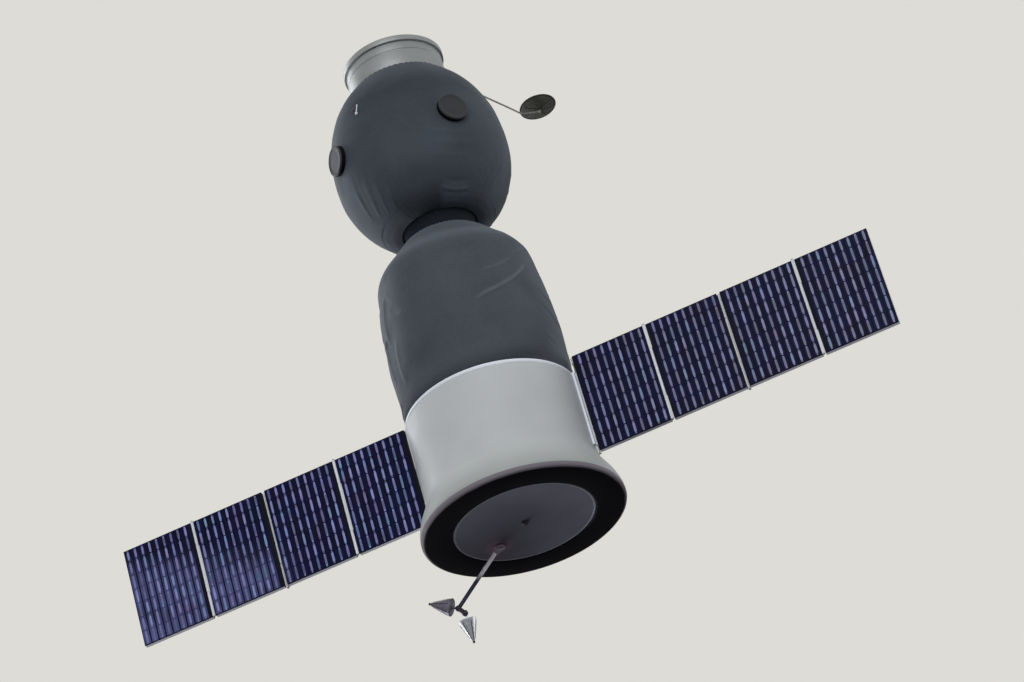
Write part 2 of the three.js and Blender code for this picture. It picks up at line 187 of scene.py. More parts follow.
def colour(name, description, code):
    """A colour the user can change"""
    return bpy.props.FloatVectorProperty(
        name=name, description=description, default=linear(code), size=4, min=0, max=1, subtype="COLOR")


def amount(name, description, default, **limits):
    """A number the user can change"""
    return bpy.props.FloatProperty(name=name, description=description, default=default, min=0, **limits)


def length(name, description, millimetres):
    """A length the user can change"""
    return amount(name, description, millimetres * MM, unit="LENGTH")


class CoverSettings(bpy.types.PropertyGroup):
    """Sewn cloth covers of the round modules and the neck"""

    thickness: length("Cloth thickness", "Thickness of the coated cloth", 0.8)
    crease: amount("Crease strength", "How deep the creases and pleats are", 1.0, max=3)
    pleats: bpy.props.IntProperty(
        name="Pleats", description="Gathers round each drawn end", default=58, min=8, max=120)
    forward_cloth: colour("Forward cloth", "Cloth of the forward module", "#444b52")
    bell_cloth: colour("Bell cloth", "Cloth of the bell", "#4d5359")
    port_cloth: colour("Port cloth", "Cloth of the port covers", "#3a3a3b")


class HullSettings(bpy.types.PropertyGroup):
    """Painted hull, aft end and docking end"""

    paint: colour("Hull paint", "Enamel of the service module", "#cdcfcd")
    rim: colour("Rim paint", "Brighter enamel of the rim and rails", "#f4f6fb")
    ring: colour("Aft ring", "Black lacquer of the aft ring", "#08050b")
    disc: colour("Aft disc", "Violet-grey lacquer of the aft disc", "#7c7a89")
    collar: colour("Collar paint", "Silver-grey enamel of the docking end", "#a6a8a4")


class WingSettings(bpy.types.PropertyGroup):
    """Cell fields on the folding wings"""

    column_pitch: length("Column pitch", "Distance between columns of cells", 10.77)
    row_pitch: length("Row pitch", "Length of a cell along the chord", 21.36)
    seam: length("Column seam", "Gap between neighbouring columns", 2.0)
    row_seam: length("Row seam", "Gap between the cells of a column", 0.35)
    cell_height: length("Cell height", "How far a cell stands off the panel", 0.2)
    cell: colour("Cell", "Silicon cells", "#0e1046")
    strip: colour("Contact strip", "Pale strip down each cell", "#9799cf")
    hinge: colour("Hinge paint", "White enamel of the hinge barrels", "#f4f5f8")


class StageSettings(bpy.types.PropertyGroup):
    """Floor, light and camera"""

    floor: colour("Floor", "Pale floor and surroundings", "#e6e4de")
    sky: colour("Sky light", "Colour of the light", "#e6e9ee")
    sky_strength: amount("Sky light strength", "Strength of the even light from above", 0.56)
    ground_strength: amount("Ground light strength", "Strength of the light thrown back from below", 0.115)
    key_power: amount("Key light", "Power of the large soft light", 100, unit="POWER")


# Meshes: a shell is a list of points in mm and a list of faces


def eased(points, radius, ring=False, steps=3):
    """Rounds the corners of a profile, apart from its ends on the axis"""
    made = []
    for i, here in enumerate(points):
        if not ring and i in (0, len(points) - 1):
            made.append(tuple(here))
            continue
        middle = np.array(here, float)
        sides = [np.array(points[k % len(points)], float) - middle for k in (i - 1, i + 1)]
        reach = [np.linalg.norm(side) for side in sides]
        cosine = sides[0] @ sides[1] / (reach[0] * reach[1])
        # A bend this flat needs no rounding
        if cosine < -0.97:
            made.append(tuple(here))
            continue
        cut = min(radius / math.tan(math.acos(min(1.0, cosine)) / 2), 0.45 * min(reach))
        start, end = (middle + side / away * cut for side, away in zip(sides, reach))
        for t in np.linspace(0, 1, steps + 1):
            made.append(tuple((1 - t) ** 2 * start + 2 * t * (1 - t) * middle + t * t * end))
    return made


def spline(points, steps):
    """A smooth curve through points, with equal steps between each two of them"""
    knots = np.array([points[0], *points, points[-1]], float)
    fine = []
    for a, b, c, d in zip(knots, knots[1:], knots[2:], knots[3:]):
        for t in np.linspace(0, 1, steps, endpoint=False):
            fine.append(0.5 * (2 * b + (c - a) * t + (2 * a - 5 * b + 4 * c - d) * t**2
                               + (3 * b - a - 3 * c + d) * t**3))
    return np.array([*fine, knots[-1]])


def smoothed(rows, count):
    """A smooth curve through rows of radius and height, in equal steps of its length"""
    fine = spline(rows, 24)
    travel = np.concatenate([[0], np.cumsum(np.linalg.norm(np.diff(fine, axis=0), axis=1))])
    steps = np.linspace(0, travel[-1], count)
    return np.column_stack([np.interp(steps, travel, fine[:, k]) for k in (0, 1)]), travel[-1]


def turned(profile, segments, ring=False):
    """Revolves a profile that runs outwards, up and back, so its faces point outwards"""
    points, rows, faces = [], [], []
    for radius, height in profile:
        count = 1 if radius == 0 else segments
        rows.append([len(points) + j for j in range(count)])
        for j in range(count):
            angle = math.tau * j / segments
            points.append((radius * math.cos(angle), radius * math.sin(angle), height))
    for low, high in list(zip(rows, rows[1:])) + ([(rows[-1], rows[0])] if ring else []):
        for j in range(segments):
            k = (j + 1) % segments
            corners = low[j % len(low)], low[k % len(low)], high[k % len(high)], high[j % len(high)]
            faces.append(tuple(dict.fromkeys(corners)))
    return points, faces


def spun(profile, edge, segments=SMALL, ring=False):
    """Eases a profile's corners and revolves it"""
    return turned(eased(profile, edge, ring), segments, ring)


def swept(path, radius, sides=16):
    """A round bar along a path, with closed ends"""
    path = [Vector(p) for p in path]
    points, faces = [], []
    normal = (path[1] - path[0]).normalized().orthogonal()
    for i, here in enumerate(path):
        along = (path[min(i + 1, len(path) - 1)] - path[max(i - 1, 0)]).normalized()
        normal = (normal - along * normal.dot(along)).normalized()
        across = along.cross(normal)
        for j in range(sides):
            angle = math.tau * j / sides
            points.append(tuple(here + (normal * math.cos(angle) + across * math.sin(angle)) * radius))
    for i in range(len(path) - 1):
        for j in range(sides):
            k = (j + 1) % sides
            faces.append((i * sides + j, i * sides + k, (i + 1) * sides + k, (i + 1) * sides + j))
    last = (len(path) - 1) * sides
    faces += [tuple(reversed(range(sides))), tuple(range(last, last + sides))]
    return points, faces


def moved(shell, matrix):
    """A shell after a turn and a shift"""
    points, faces = shell
    return [tuple(matrix @ Vector(p)) for p in points], faces


def ball(place, radius, steps=8):
    """A ball about a place"""
    profile = [(0 if i in (0, steps) else radius * math.sin(math.pi * i / steps),
                -radius * math.cos(math.pi * i / steps)) for i in range(steps + 1)]
    return moved(turned(profile, SMALL), Matrix.Translation(place))


def aimed(place, direction):
    """Turns +Z to a direction and sets the origin at a place"""
    turn = Vector(direction).to_track_quat("Z", "Y").to_matrix().to_4x4()
    return Matrix.Translation(Vector(place)) @ turn


def polar(azimuth, radius, h):
    """A point by azimuth in degrees, radius and height in mm, with z measured from the docking face"""
    a = math.radians(azimuth)
    return Vector((radius * math.cos(a), radius * math.sin(a), h - HEIGHT))


def link(name, data):
    """A new object in the scene, with its mesh, light or camera"""
    made = bpy.data.objects.new(name, data)
    bpy.context.scene.collection.objects.link(made)
    return made


def piece(name, shells, materials, choice=()):
    """One object from shells in mm, smooth apart from its sharp edges. choice is each shell's material"""
    points, faces, finish = [], [], []
    for number, (shell_points, shell_faces) in enumerate(shells):
        base = len(points)
        points += [tuple(c * MM for c in p) for p in shell_points]
        faces += [tuple(base + v for v in f) for f in shell_faces]
        finish += [choice[number] if choice else 0] * len(shell_faces)
    mesh = bpy.data.meshes.new(name)
    mesh.from_pydata(points, [], faces)
    for material in materials:
        mesh.materials.append(material)
    mesh.polygons.foreach_set("material_index", finish)
    mesh.shade_smooth()
    mesh.set_sharp_from_angle(angle=SHARP)
    return link(name, mesh)


def settle(made, slot, *nodes, body="craft"):
    """Puts a finished piece on its body and hides the CAD nodes it stands for. The slot is not used."""
    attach(made, body)
    if nodes:
        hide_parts(*nodes)


# Materials


def main_output(node):
    """The output that other nodes read: the factor where there is one, or else the first in use"""
    return node.outputs.get("Fac") or next(socket for socket in node.outputs if socket.enabled)


def add_node(tree, kind, *inputs, stops=(), **settings):
    """Adds a node with its settings and colour stops, and fills or links its inputs.

    Inputs come in the node's own order, or in a dict by name or number. A list of nodes goes into one
    joining input, and a kind without a family is a shader node. Stops are positions with colours or
    hex codes.
    """
    made = tree.nodes.new(kind if "Node" in kind else "ShaderNode" + kind)
    for key, value in settings.items():
        setattr(made, key, value)
    for number, (position, value) in enumerate(stops):
        elements = made.color_ramp.elements
        stop = elements[number] if number < 2 else elements.new(position)
        stop.position, stop.color = position, linear(value) if isinstance(value, str) else value
    given = {}
    for number, entry in enumerate(inputs):
        given.update(entry if isinstance(entry, dict) else {number: entry})
    for key, value in given.items():
        several = isinstance(value, list) and isinstance(value[0], bpy.types.Node)
        for source in value if several else [value]:
            if isinstance(source, bpy.types.Node):
                source = main_output(source)
            if isinstance(source, bpy.types.NodeSocket):
                tree.links.new(source, made.inputs[key])
            else:
                made.inputs[key].default_value = source
    return made


class Finish:
    """A procedural material in the making, laid in Object coordinates.

    Its shader's own sockets hold the values that are the same everywhere.
    """

    def __init__(self, name, values):
        self.material = bpy.data.materials.new(name)
        self.material.use_nodes = True
        self.material.node_tree.nodes.clear()
        self.add = functools.partial(add_node, self.material.node_tree)
        self.shader = self.add("BsdfPrincipled", values)
        self.add("OutputMaterial", self.shader)
        self.place = self.add("TexCoord").outputs["Object"]

    def patches(self, size, detail, *stops, **values):
        """A pattern with patches of a size in mm, plain and through colour stops"""
        plain = self.add("TexNoise", {"Vector": self.place, "Scale": 1000 / size, "Detail": detail, **values})
        return plain, self.add("ValToRGB", plain, stops=stops)

    def done(self, tone, rough=None, relief=None):
        """Ends the material with its colour, roughness and relief.

        rough is (pattern, low, high), with the pattern's own range after it if that isn't 0.3 to 0.7, and
        relief is (pattern, strength, depth in mm).
        """
        ends = {"Base Color": tone}
        if rough:
            pattern, low, high, *span = rough
            ends["Roughness"] = self.add("MapRange", pattern, *(span or (0.3, 0.7)), low, high)
        if relief:
            pattern, strength, depth = relief
            ends["Normal"] = self.add("Bump", {
                "Height": pattern, "Strength": strength, "Distance": depth * MM})
        for key, node in ends.items():
            self.material.node_tree.links.new(main_output(node), self.shader.inputs[key])
        return self.material


def coated_cloth(name, base, sheen, roughness=0.78, specular=0.35):
    """Polyurethane-coated nylon pack cloth, plain woven and cut to fit.

    The coat makes it matt and even, with a soft bloom at glancing angles. The real thread spacing of
    0.3 mm is too fine to show and is drawn at 1.6 mm. The crease attribute paints light into the colour: a
    painted highlight along the tops of creases and pleats and on the sides that face the windows, and painted
    shade where a cover turns away from the light.
    """
    new = Finish(name, {
        "Roughness": roughness, "Sheen Weight": sheen, "Sheen Roughness": 0.45,
        "Sheen Tint": linear("#a9aeb8"), "Specular IOR Level": specular})
    _, tone = new.patches(70, 3, (0.3, shade(base, 0.86)), (0.52, base[:]), (0.72, shade(base, 1.13)))
    mottle, speck = new.patches(5, 4, (0.3, "#e6e6e6"), (0.7, "#ffffff"), Roughness=0.6)
    tone = new.add("Mix", {0: 0.6, 6: tone, 7: speck}, data_type="RGBA", blend_type="MULTIPLY")
    crease = new.add("Attribute", attribute_name="crease")
    painted_shade = new.add("Math", crease, -1.0, operation="MULTIPLY", use_clamp=True)
    # Above zero the crease attribute mixes in painted highlight, below zero painted shade
    for share, factor in ((crease, 1.9), (painted_shade, 0.3)):
        tone = new.add("Mix", {0: share, 6: tone, 7: shade(base, factor)}, data_type="RGBA")
    threads = {"Vector": new.add("UVMap", uv_map="cloth"), "Scale": WAVE / 1.6}
    warp, weft = (new.add("TexWave", threads, bands_direction=way) for way in "XY")
    weave = new.add("Math", warp, weft, operation="MULTIPLY")
    grain = new.add("Math", weave, mottle, operation="ADD")
    return new.done(tone, relief=(grain, 0.35, 0.25))


def satin_enamel(name, base, foot_tone, roughness=0.42):
    """Sprayed satin enamel over a smooth shell.

    It gives an even, slightly milky white with a fine orange peel of about 2 mm, and it turns darker
    towards the aft end.
    """
    new = Finish(name, {"Roughness": roughness, "IOR": 1.5, "Specular IOR Level": 0.22})
    _, tone = new.patches(90, 2, (0.3, shade(base, 0.95)), (0.7, shade(base, 1.04)))
    height = new.add("SeparateXYZ", new.place).outputs[2]
    # Darker towards the aft end
    low = new.add("MapRange", height, at(-5), at(70), 0.75, 0.0, **SMOOTH)
    foot_darkened = new.add("Mix", {0: low, 6: tone, 7: foot_tone}, data_type="RGBA")
    scuffs = new.add("TexNoise", {"Vector": new.place, "Scale": 1000 / 14, "Detail": 6, "Roughness": 0.65})
    peel = new.add("TexNoise", {"Vector": new.place, "Scale": 1000 / 2.2, "Detail": 1})
    rough = (scuffs, roughness - 0.07, roughness + 0.1)
    return new.done(foot_darkened, rough, relief=(peel, 0.12, 0.15))


def ring_lacquer(name, base):
    """Black satin lacquer on the aft ring.

    The flat face is nearly black, and the rounded outer lip is painted brown grey as a painted reflection.
    """
    new = Finish(name, {"IOR": 1.5, "Specular IOR Level": 0.06})
    flat = new.add("VectorMath", new.place, (1, 1, 0), operation="MULTIPLY")
    radius = new.add("VectorMath", flat, operation="LENGTH")
    patchy = new.add("TexNoise", {"Vector": new.place, "Scale": 1000 / 18, "Detail": 5})
    wander = new.add("Math", patchy, 1.6 * MM, radius, operation="MULTIPLY_ADD")
    # The brown-grey lip band is a painted reflection on the rounded lip
    lip = new.add("MapRange", wander, 132.2 * MM, 136.2 * MM, **SMOOTH)
    tone = new.add("Mix", {0: lip, 6: base[:], 7: linear("#857d84")}, data_type="RGBA")
    grit = new.add("TexNoise", {"Vector": new.place, "Scale": 1000 / 1.5, "Detail": 2})
    return new.done(tone, rough=(patchy, 0.42, 0.62), relief=(grit, 0.1, 0.1))


def disc_lacquer(name, base):
    """Violet-grey satin lacquer, sprayed on a turned disc.

    It shows faint circles from the turning, 3 mm apart, and is paler just inside its edge. Its centre is
    dull, round the boom's foot it is darkened by painted shade, and next to the foot it is warmer.
    """
    new = Finish(name, {"Roughness": 0.5, "IOR": 1.5, "Specular IOR Level": 0.25})
    flat = new.add("VectorMath", new.place, (1, 1, 0), operation="MULTIPLY")
    radius = new.add("VectorMath", flat, operation="LENGTH")
    to_foot = new.add("VectorMath", flat, (BOOM_FOOT.x * MM, BOOM_FOOT.y * MM, 0), operation="DISTANCE")
    _, tone = new.patches(60, 3, (0.3, shade(base, 0.88)), (0.7, shade(base, 1.12)))
    # Distance, from and to in mm, share at both, colour, and how it fades
    # The second row is painted shade round the boom's foot
    for away, near, far, inner, outer, code, fade in (
            (radius, 4, 42, 0.15, 0.0, "#3a373f", SMOOTH), (to_foot, 10, 135, 0.85, 0.0, "#3a3640", {}),
            (to_foot, 5, 26, 0.5, 0.0, "#8a6272", SMOOTH), (radius, 90.6, 92, 0.0, 0.6, "#9c9aa6", {})):
        share = new.add("MapRange", away, near * MM, far * MM, inner, outer, **fade)
        tone = new.add("Mix", {0: share, 6: tone, 7: linear(code)}, data_type="RGBA")
    circles = new.add("TexWave", {"Vector": new.place, "Scale": WAVE / 3, "Distortion": 0.4},
                      wave_type="RINGS", rings_direction="Z")
    return new.done(tone, relief=(circles, 0.08, 0.1))


def turned_aluminium(name, base):
    """Aluminium turned on a lathe and sprayed thinly with silver-grey lacquer.

    The tool left circles round the axis 2.5 mm apart, which catch the light as fine level lines.
    """
    new = Finish(name, {"Metallic": 0.35, "Roughness": 0.4})
    _, tone = new.patches(40, 3, (0.3, shade(base, 0.9)), (0.7, shade(base, 1.08)))
    lines = new.add("TexWave", {"Vector": new.place, "Scale": WAVE / 2.5, "Distortion": 0.2},
                    bands_direction="Z")
    return new.done(tone, relief=(lines, 0.2, 0.12))


def drawn_steel(name, near, far, near_h, far_h):
    """Drawn steel rod, painted bright at its near end as a painted highlight, and darker towards the far end.

    Drawing leaves fine streaks along the rod; they are drawn 1.5 mm wide so that they show.
    """
    new = Finish(name, {"Metallic": 0.25})
    height = new.add("SeparateXYZ", new.place).outputs[2]
    share = new.add("MapRange", height, at(near_h), at(far_h), **SMOOTH)
    along = new.add("Mapping", {"Vector": new.place, "Scale": (1, 1, 0.12)})
    streaks, speck = new.patches(1.5, 3, (0.3, "#c8c8c8"), (0.7, "#ffffff"), Vector=along)
    # The near colour is a painted highlight where the rod is lit
    rod = new.add("Mix", {0: share, 6: near, 7: far}, data_type="RGBA")
    tone = new.add("Mix", {0: 0.7, 6: rod, 7: speck}, data_type="RGBA", blend_type="MULTIPLY")
    return new.done(tone, rough=(streaks, 0.25, 0.5))


def metal_lacquer(name, code, roughness=0.5, metallic=0.2, speck_mm=4):
    """Thin satin lacquer over pressed or turned metal.

    It keeps a low metallic glint, shows small dull patches, and rubs lighter in places.
    """
    base = linear(code)
    new = Finish("Satin lacquer, " + name, {"Metallic": metallic})
    patch, tone = new.patches(speck_mm, 4, (0.28, shade(base, 0.75)), (0.5, base), (0.74, shade(base, 1.4)))
    return new.done(tone, rough=(patch, roughness - 0.1, roughness + 0.12), relief=(patch, 0.1, 0.1))


def polished_aluminium(name, base):
    """Spun aluminium, polished and then gone milky: bright, with hairline scratches and a few dull spots"""
    new = Finish(name, {"Metallic": 0.45})
    scratch, tone = new.patches(3, 5, (0.3, shade(base, 0.8)), (0.65, base), Roughness=0.7)
    return new.done(tone, rough=(scratch, 0.22, 0.42, 0.35, 0.75))


def painted_shade_wall(name):
    """Matt, nearly black rubber for the port walls, which paints the shade under each drum, with a dusty
    grain of about 1 mm
    """
    new = Finish(name, {"Roughness": 0.8, "Specular IOR Level": 0.12})
    _, tone = new.patches(9, 5, (0.35, "#030407"), (0.75, "#0c0e13"))
    grain = new.add("TexNoise", {"Vector": new.place, "Scale": 1000 / 1, "Detail": 2})
    return new.done(tone, relief=(grain, 0.2, 0.1))


def moulded_acrylic(name, base):
    """Moulded milky acrylic: smooth and slightly glowing at its edges, dusty in patches of about 2 mm"""
    new = Finish(name, {
        "Roughness": 0.2, "IOR": 1.49, "Subsurface Weight": 0.3, "Subsurface Scale": 2 * MM})
    _, tone = new.patches(2, 3, (0.3, shade(base, 0.85)), (0.65, base))
    return new.done(tone)


def own_tint(new, tone, *stops):
    """A tone darkened by each cell's own random tint"""
    tint = new.add("ValToRGB", new.add("Attribute", attribute_name="cell_tint"), stops=stops)
    return new.add("Mix", {0: 1.0, 6: tone, 7: tint}, data_type="RGBA", blend_type="MULTIPLY")


def silicon_cell(name, base):
    """Silicon cells with a blue interference coat, behind a satin film.

    The coat's thickness drifts, so neighbouring cells lean to blue, violet or teal. A pale lavender
    painted sheen lies towards the aft edge of the outer left panels, and the film bears a little brown-grey
    dust on the right wing. The real contact fingers are 1 mm apart, too fine to show, and are drawn at 2.7
    mm.
    """
    new = Finish(name, {"Roughness": 0.45, "IOR": 1.5, "Specular IOR Level": 0.05})
    drift, tint = new.patches(
        32, 2, (0.3, "#1b0d2c"), (0.42, "#160c3e"), (0.5, base[:]), (0.6, "#0a1244"),
        (0.72, "#0a1b3a"), Roughness=0.6)
    tone = own_tint(new, tint, (0.0, "#8f8f9a"), (0.55, "#d4d4dd"), (1.0, "#ffffff"))
    grain = new.add("TexVoronoi", {"Vector": new.place, "Scale": 1000 / 4}).outputs["Color"]
    flake = new.add("MapRange", grain, 0.0, 1.0, 0.0, 0.16)
    x = new.add("SeparateXYZ", new.place).outputs[0]
    # A pale lavender painted sheen towards the aft edge of the outer left panels
    outer = new.add("MapRange", x, -0.30, -0.37, 0.0, 1.0, **SMOOTH)
    slanted = new.add("VectorMath", new.place, (0.36, 0, 1), operation="DOT_PRODUCT")
    aft = new.add("MapRange", slanted, -0.735, -0.795, 0.0, 0.85, **SMOOTH)
    aft_sheen_patches = new.add("Math", aft, drift, operation="MULTIPLY")
    painted_sheen = new.add("Math", outer, aft_sheen_patches, operation="MULTIPLY")
    right = new.add("MapRange", x, 0.0, 0.5, 0.0, 0.13)
    fingers = new.add("TexWave", {"Vector": new.place, "Scale": WAVE / 2.7}, bands_direction="Z")
    line = new.add("MapRange", fingers, 0.86, 1.0, 0.0, 0.25)
    for share, code in ((flake, "#2b2d5c"), (painted_sheen, "#7478b2"), (right, "#454341"), (line, "#37395e")):
        tone = new.add("Mix", {0: share, 6: tone, 7: linear(code)}, data_type="RGBA")
    return new.done(tone, relief=(fingers, 0.1, 0.05))


def contact_strip(name, base):
    """Tinned contact strip, dull silver seen through the cell's violet film, dustier on the right wing"""
    new = Finish(name, {"Metallic": 0.25, "Roughness": 0.42})
    _, tone = new.patches(26, 3, (0.3, "#8d7dab"), (0.5, base[:]), (0.7, "#7ca4c6"))
    tone = own_tint(new, tone, (0.0, "#a0a0a8"), (1.0, "#ffffff"))
    x = new.add("SeparateXYZ", new.place).outputs[0]
    right = new.add("MapRange", x, -0.1, 0.1, 0.0, 0.4)
    return new.done(new.add("Mix", {0: right, 6: tone, 7: linear("#6b6866")}, data_type="RGBA"))


def wing_board(name, hinge):
    """Laminated board of the wings, painted after assembly.

    The cell side and the edges at the hinges are nearly black, the free edges are pale, and the back is
    an even grey primer. The barrels are brushed with white enamel on top.
    """
    new = Finish(name, {"Roughness": 0.6, "Specular IOR Level": 0.12})
    add = new.add
    axes = add("SeparateXYZ", new.place).outputs
    along = add("Mapping", {"Vector": new.place, "Scale": (1, 1, 0.15)})
    streak, primer = new.patches(9, 4, (0.3, "#828385"), (0.7, "#909193"), Vector=along)
    tone = add("ValToRGB", streak, stops=[(0.3, "#07081a"), (0.7, "#0f1028")])
    enamel = add("ValToRGB", streak, stops=[(0.3, shade(hinge, 0.86)), (0.7, hinge[:])])
    back = add("MapRange", axes[1], 3.2 * MM, 3.4 * MM)
    core = add("MapRange", axes[1], -2.1 * MM, -1.9 * MM)
    # The distance along the span to the nearest hinge axis tells barrels, hinge edges and free edges apart
    span = add("Math", axes[0], operation="ABSOLUTE")
    shifted = add("Math", span, (ROOT_AXIS_X - PITCH / 2) * MM, operation="SUBTRACT")
    wrapped = add("Math", shifted, PITCH * MM, operation="MODULO")
    centred = add("Math", wrapped, PITCH / 2 * MM, operation="SUBTRACT")
    off_axis = add("Math", centred, operation="ABSOLUTE")
    inboard = add("Math", span, (ROOT_AXIS_X + (PANELS - 0.5) * PITCH) * MM, operation="LESS_THAN")
    barrel = add("Math", off_axis, (BARREL_R + 0.05) * MM, operation="LESS_THAN")
    clear = add("Math", off_axis, (HINGE_GAP / 2 + 0.3) * MM, operation="GREATER_THAN")
    free = add("Math", 1.0, inboard, operation="SUBTRACT")
    bare = add("Math", clear, free, operation="MAXIMUM")
    pale = add("Math", core, bare, operation="MULTIPLY")
    painted = add("Math", barrel, inboard, operation="MULTIPLY")
    for share, coat in ((pale, linear("#e9e9f1")), (back, primer), (painted, enamel)):
        tone = add("Mix", {0: share, 6: tone, 7: coat}, data_type="RGBA")
    return new.done(tone, relief=(streak, 0.12, 0.1))


def floor_paint(name, base):
    """Matt floor paint: pale and even, with faint roller marks about 0.3 m long"""
    new = Finish(name, {"Roughness": 0.9, "Emission Color": base[:], "Emission Strength": 0.42})
    _, tone = new.patches(1000 / 3.3, 2, (0.3, shade(base, 0.97)), (0.7, base[:]))
    return new.done(tone)


# Geometry Nodes


def new_tree(name, inputs):
    """A node group with named inputs and one mesh output, and the function that adds its nodes"""
    tree = bpy.data.node_groups.new(name, "GeometryNodeTree")
    for label, default in inputs.items():
        kind = {int: "Int", float: "Float"}.get(type(default), "Material")
        socket = tree.interface.new_socket(name=label, in_out="INPUT", socket_type="NodeSocket" + kind)
        if default is not None:
            socket.default_value = default
    tree.interface.new_socket(name="Mesh", in_out="OUTPUT", socket_type="NodeSocketGeometry")
    add = functools.partial(add_node, tree)
    return tree, add, add("NodeGroupInput").outputs


def tile(add, taper):
    """A closed tile one unit wide and long and one thick, with its upper edges drawn in"""
    base = add("GeometryNodeMeshGrid", 1.0, 1.0, 2, 2)
    under = add("GeometryNodeFlipFaces", base)
    raised = add("GeometryNodeExtrudeMesh", {"Mesh": base, "Offset Scale": 1.0}, mode="FACES")
    drawn = add("GeometryNodeScaleElements", raised, raised.outputs["Top"], taper, domain="FACE")
    both = add("GeometryNodeJoinGeometry", {"Geometry": [under, drawn]})
    return add("GeometryNodeMergeByDistance", {"Geometry": both, "Distance": 1e-4})


def cell_field_tree():
    """Columns of cells along the chord, in line across the panel, cut to fit at both edges"""
    tree, add, given = new_tree("cell_field", {
        "Columns": 9, "Rows": 8, "Column Pitch": 0.01, "Row Pitch": 0.02, "First Row": 0.0,
        "Field Length": 0.14, "Seam": 0.001, "Row Seam": 0.001, "Cell Height": 0.0002, "Strip Width": 0.4,
        "Strip Length": 0.67, "Tail Width": 0.27, "Seed": 0, "Cell Material": None, "Strip Material": None})

    index = add("GeometryNodeInputIndex")
    ratio = add("Math", index, given["Rows"], operation="DIVIDE")
    column = add("Math", ratio, operation="FLOOR")
    row = add("Math", index, given["Rows"], operation="MODULO")
    start = add("Math", row, given["Row Pitch"], given["First Row"], operation="MULTIPLY_ADD")
    end = add("Math", start, given["Row Pitch"], operation="ADD")
    low = add("Math", start, 0.0, operation="MAXIMUM")
    high = add("Math", end, given["Field Length"], operation="MINIMUM")
    size = add("Math", high, low, operation="SUBTRACT")
    cut = add("Math", size, given["Row Seam"], operation="SUBTRACT")
    # A cell that the edge leaves shorter than 2 mm isn't laid
    kept = add("Math", cut, 2 * MM, operation="GREATER_THAN")
    both = add("Math", high, low, operation="ADD")
    along = add("Math", both, 0.5, operation="MULTIPLY")
    last = add("Math", given["Columns"], 1.0, operation="SUBTRACT")
    middle = add("Math", last, -0.5, column, operation="MULTIPLY_ADD")
    across = add("Math", middle, given["Column Pitch"], operation="MULTIPLY")
    total = add("Math", given["Columns"], given["Rows"], operation="MULTIPLY")
    points = add("GeometryNodePoints", {"Count": total, "Position": add("CombineXYZ", across, along)})
    width = add("Math", given["Column Pitch"], given["Seam"], operation="SUBTRACT")
    full = (width, cut, given["Cell Height"])
    unit = tile(add, 0.95)
    # Shares of the full width, length and height: the cell, then its contact strip, which is wide along
    # the middle and narrow at both ends
    parts = []
    for shares, is_strip in (
            ((1.0, 1.0, 1.0), 0.0), ((given["Strip Width"], given["Strip Length"], 1.4), 1.0),
            ((given["Tail Width"], 0.985, 1.2), 1.0)):
        sides = [add("Math", whole, share, operation="MULTIPLY") for whole, share in zip(full, shares)]
        tiles = add("GeometryNodeInstanceOnPoints", {
            "Points": points, "Selection": kept, "Instance": unit, "Scale": add("CombineXYZ", *sides)})
        parts.append(add("GeometryNodeStoreNamedAttribute", {
            "Geometry": tiles, "Name": "strip", "Value": is_strip}, data_type="FLOAT", domain="INSTANCE"))
    joined = add("GeometryNodeJoinGeometry", {"Geometry": parts})
    chance = add("FunctionNodeRandomValue", {"ID": index, "Seed": given["Seed"]}, data_type="FLOAT")
    tinted = add("GeometryNodeStoreNamedAttribute", {
        "Geometry": joined, "Name": "cell_tint", "Value": chance}, data_type="FLOAT", domain="INSTANCE")
    real = add("GeometryNodeRealizeInstances", tinted)
    coated = add("GeometryNodeSetMaterial", {"Geometry": real, "Material": given["Cell Material"]})
    finished = add("GeometryNodeSetMaterial", {
        "Geometry": coated, "Selection": add("GeometryNodeInputNamedAttribute", "strip", data_type="FLOAT"),
        "Material": given["Strip Material"]})
    add("NodeGroupOutput", finished)
    return tree


def ring_tree():
    """Like items set evenly round a circle"""
    known = bpy.data.node_groups.get("ring_of_items")
    if known:
        return known
    tree, add, given = new_tree("ring_of_items", {
        "Count": 12, "Radius": 0.01, "Length": 0.01, "Width": 0.001, "Thickness": 0.001, "Tilt": 0.0,
        "Material": None})
    circle = add("GeometryNodeMeshCircle", {"Vertices": given["Count"], "Radius": given["Radius"]})
    outward = add("FunctionNodeAlignRotationToVector", {
        "Vector": add("GeometryNodeInputPosition")}, axis="X", pivot_axis="Z")
    lean = add("CombineXYZ", {1: given["Tilt"]})
    leaning = add("FunctionNodeRotateRotation", outward, lean, rotation_space="LOCAL")
    placed = add("GeometryNodeInstanceOnPoints", {
        "Points": circle, "Instance": tile(add, 0.7), "Rotation": leaning,
        "Scale": add("CombineXYZ", given["Length"], given["Width"], given["Thickness"])})
    real = add("GeometryNodeRealizeInstances", placed)
    add("NodeGroupOutput", add("GeometryNodeSetMaterial", {"Geometry": real, "Material": given["Material"]}))
    return tree


def grown(name, tree, values, place):
    """A plain mesh grown by a node tree, then set in its place"""
    carrier = link(name + "_carrier", bpy.data.meshes.new(name + "_carrier"))
    modifier = carrier.modifiers.new("grow", "NODES")
    modifier.node_group = tree
    sockets = {s.name: s.identifier for s in tree.interface.items_tree if s.in_out == "INPUT"}
    for label, value in values.items():
        modifier[sockets[label]] = value
    bpy.context.view_layer.update()
    evaluated = carrier.evaluated_get(bpy.context.evaluated_depsgraph_get())
    mesh = bpy.data.meshes.new_from_object(evaluated)
    carrier.modifiers.remove(modifier)
    bpy.data.objects.remove(carrier)
    if not mesh.polygons:
        raise RuntimeError(f"{name}: its node tree made no faces")
    mesh.name = name
    mesh.transform(place)
    return link(name, mesh)


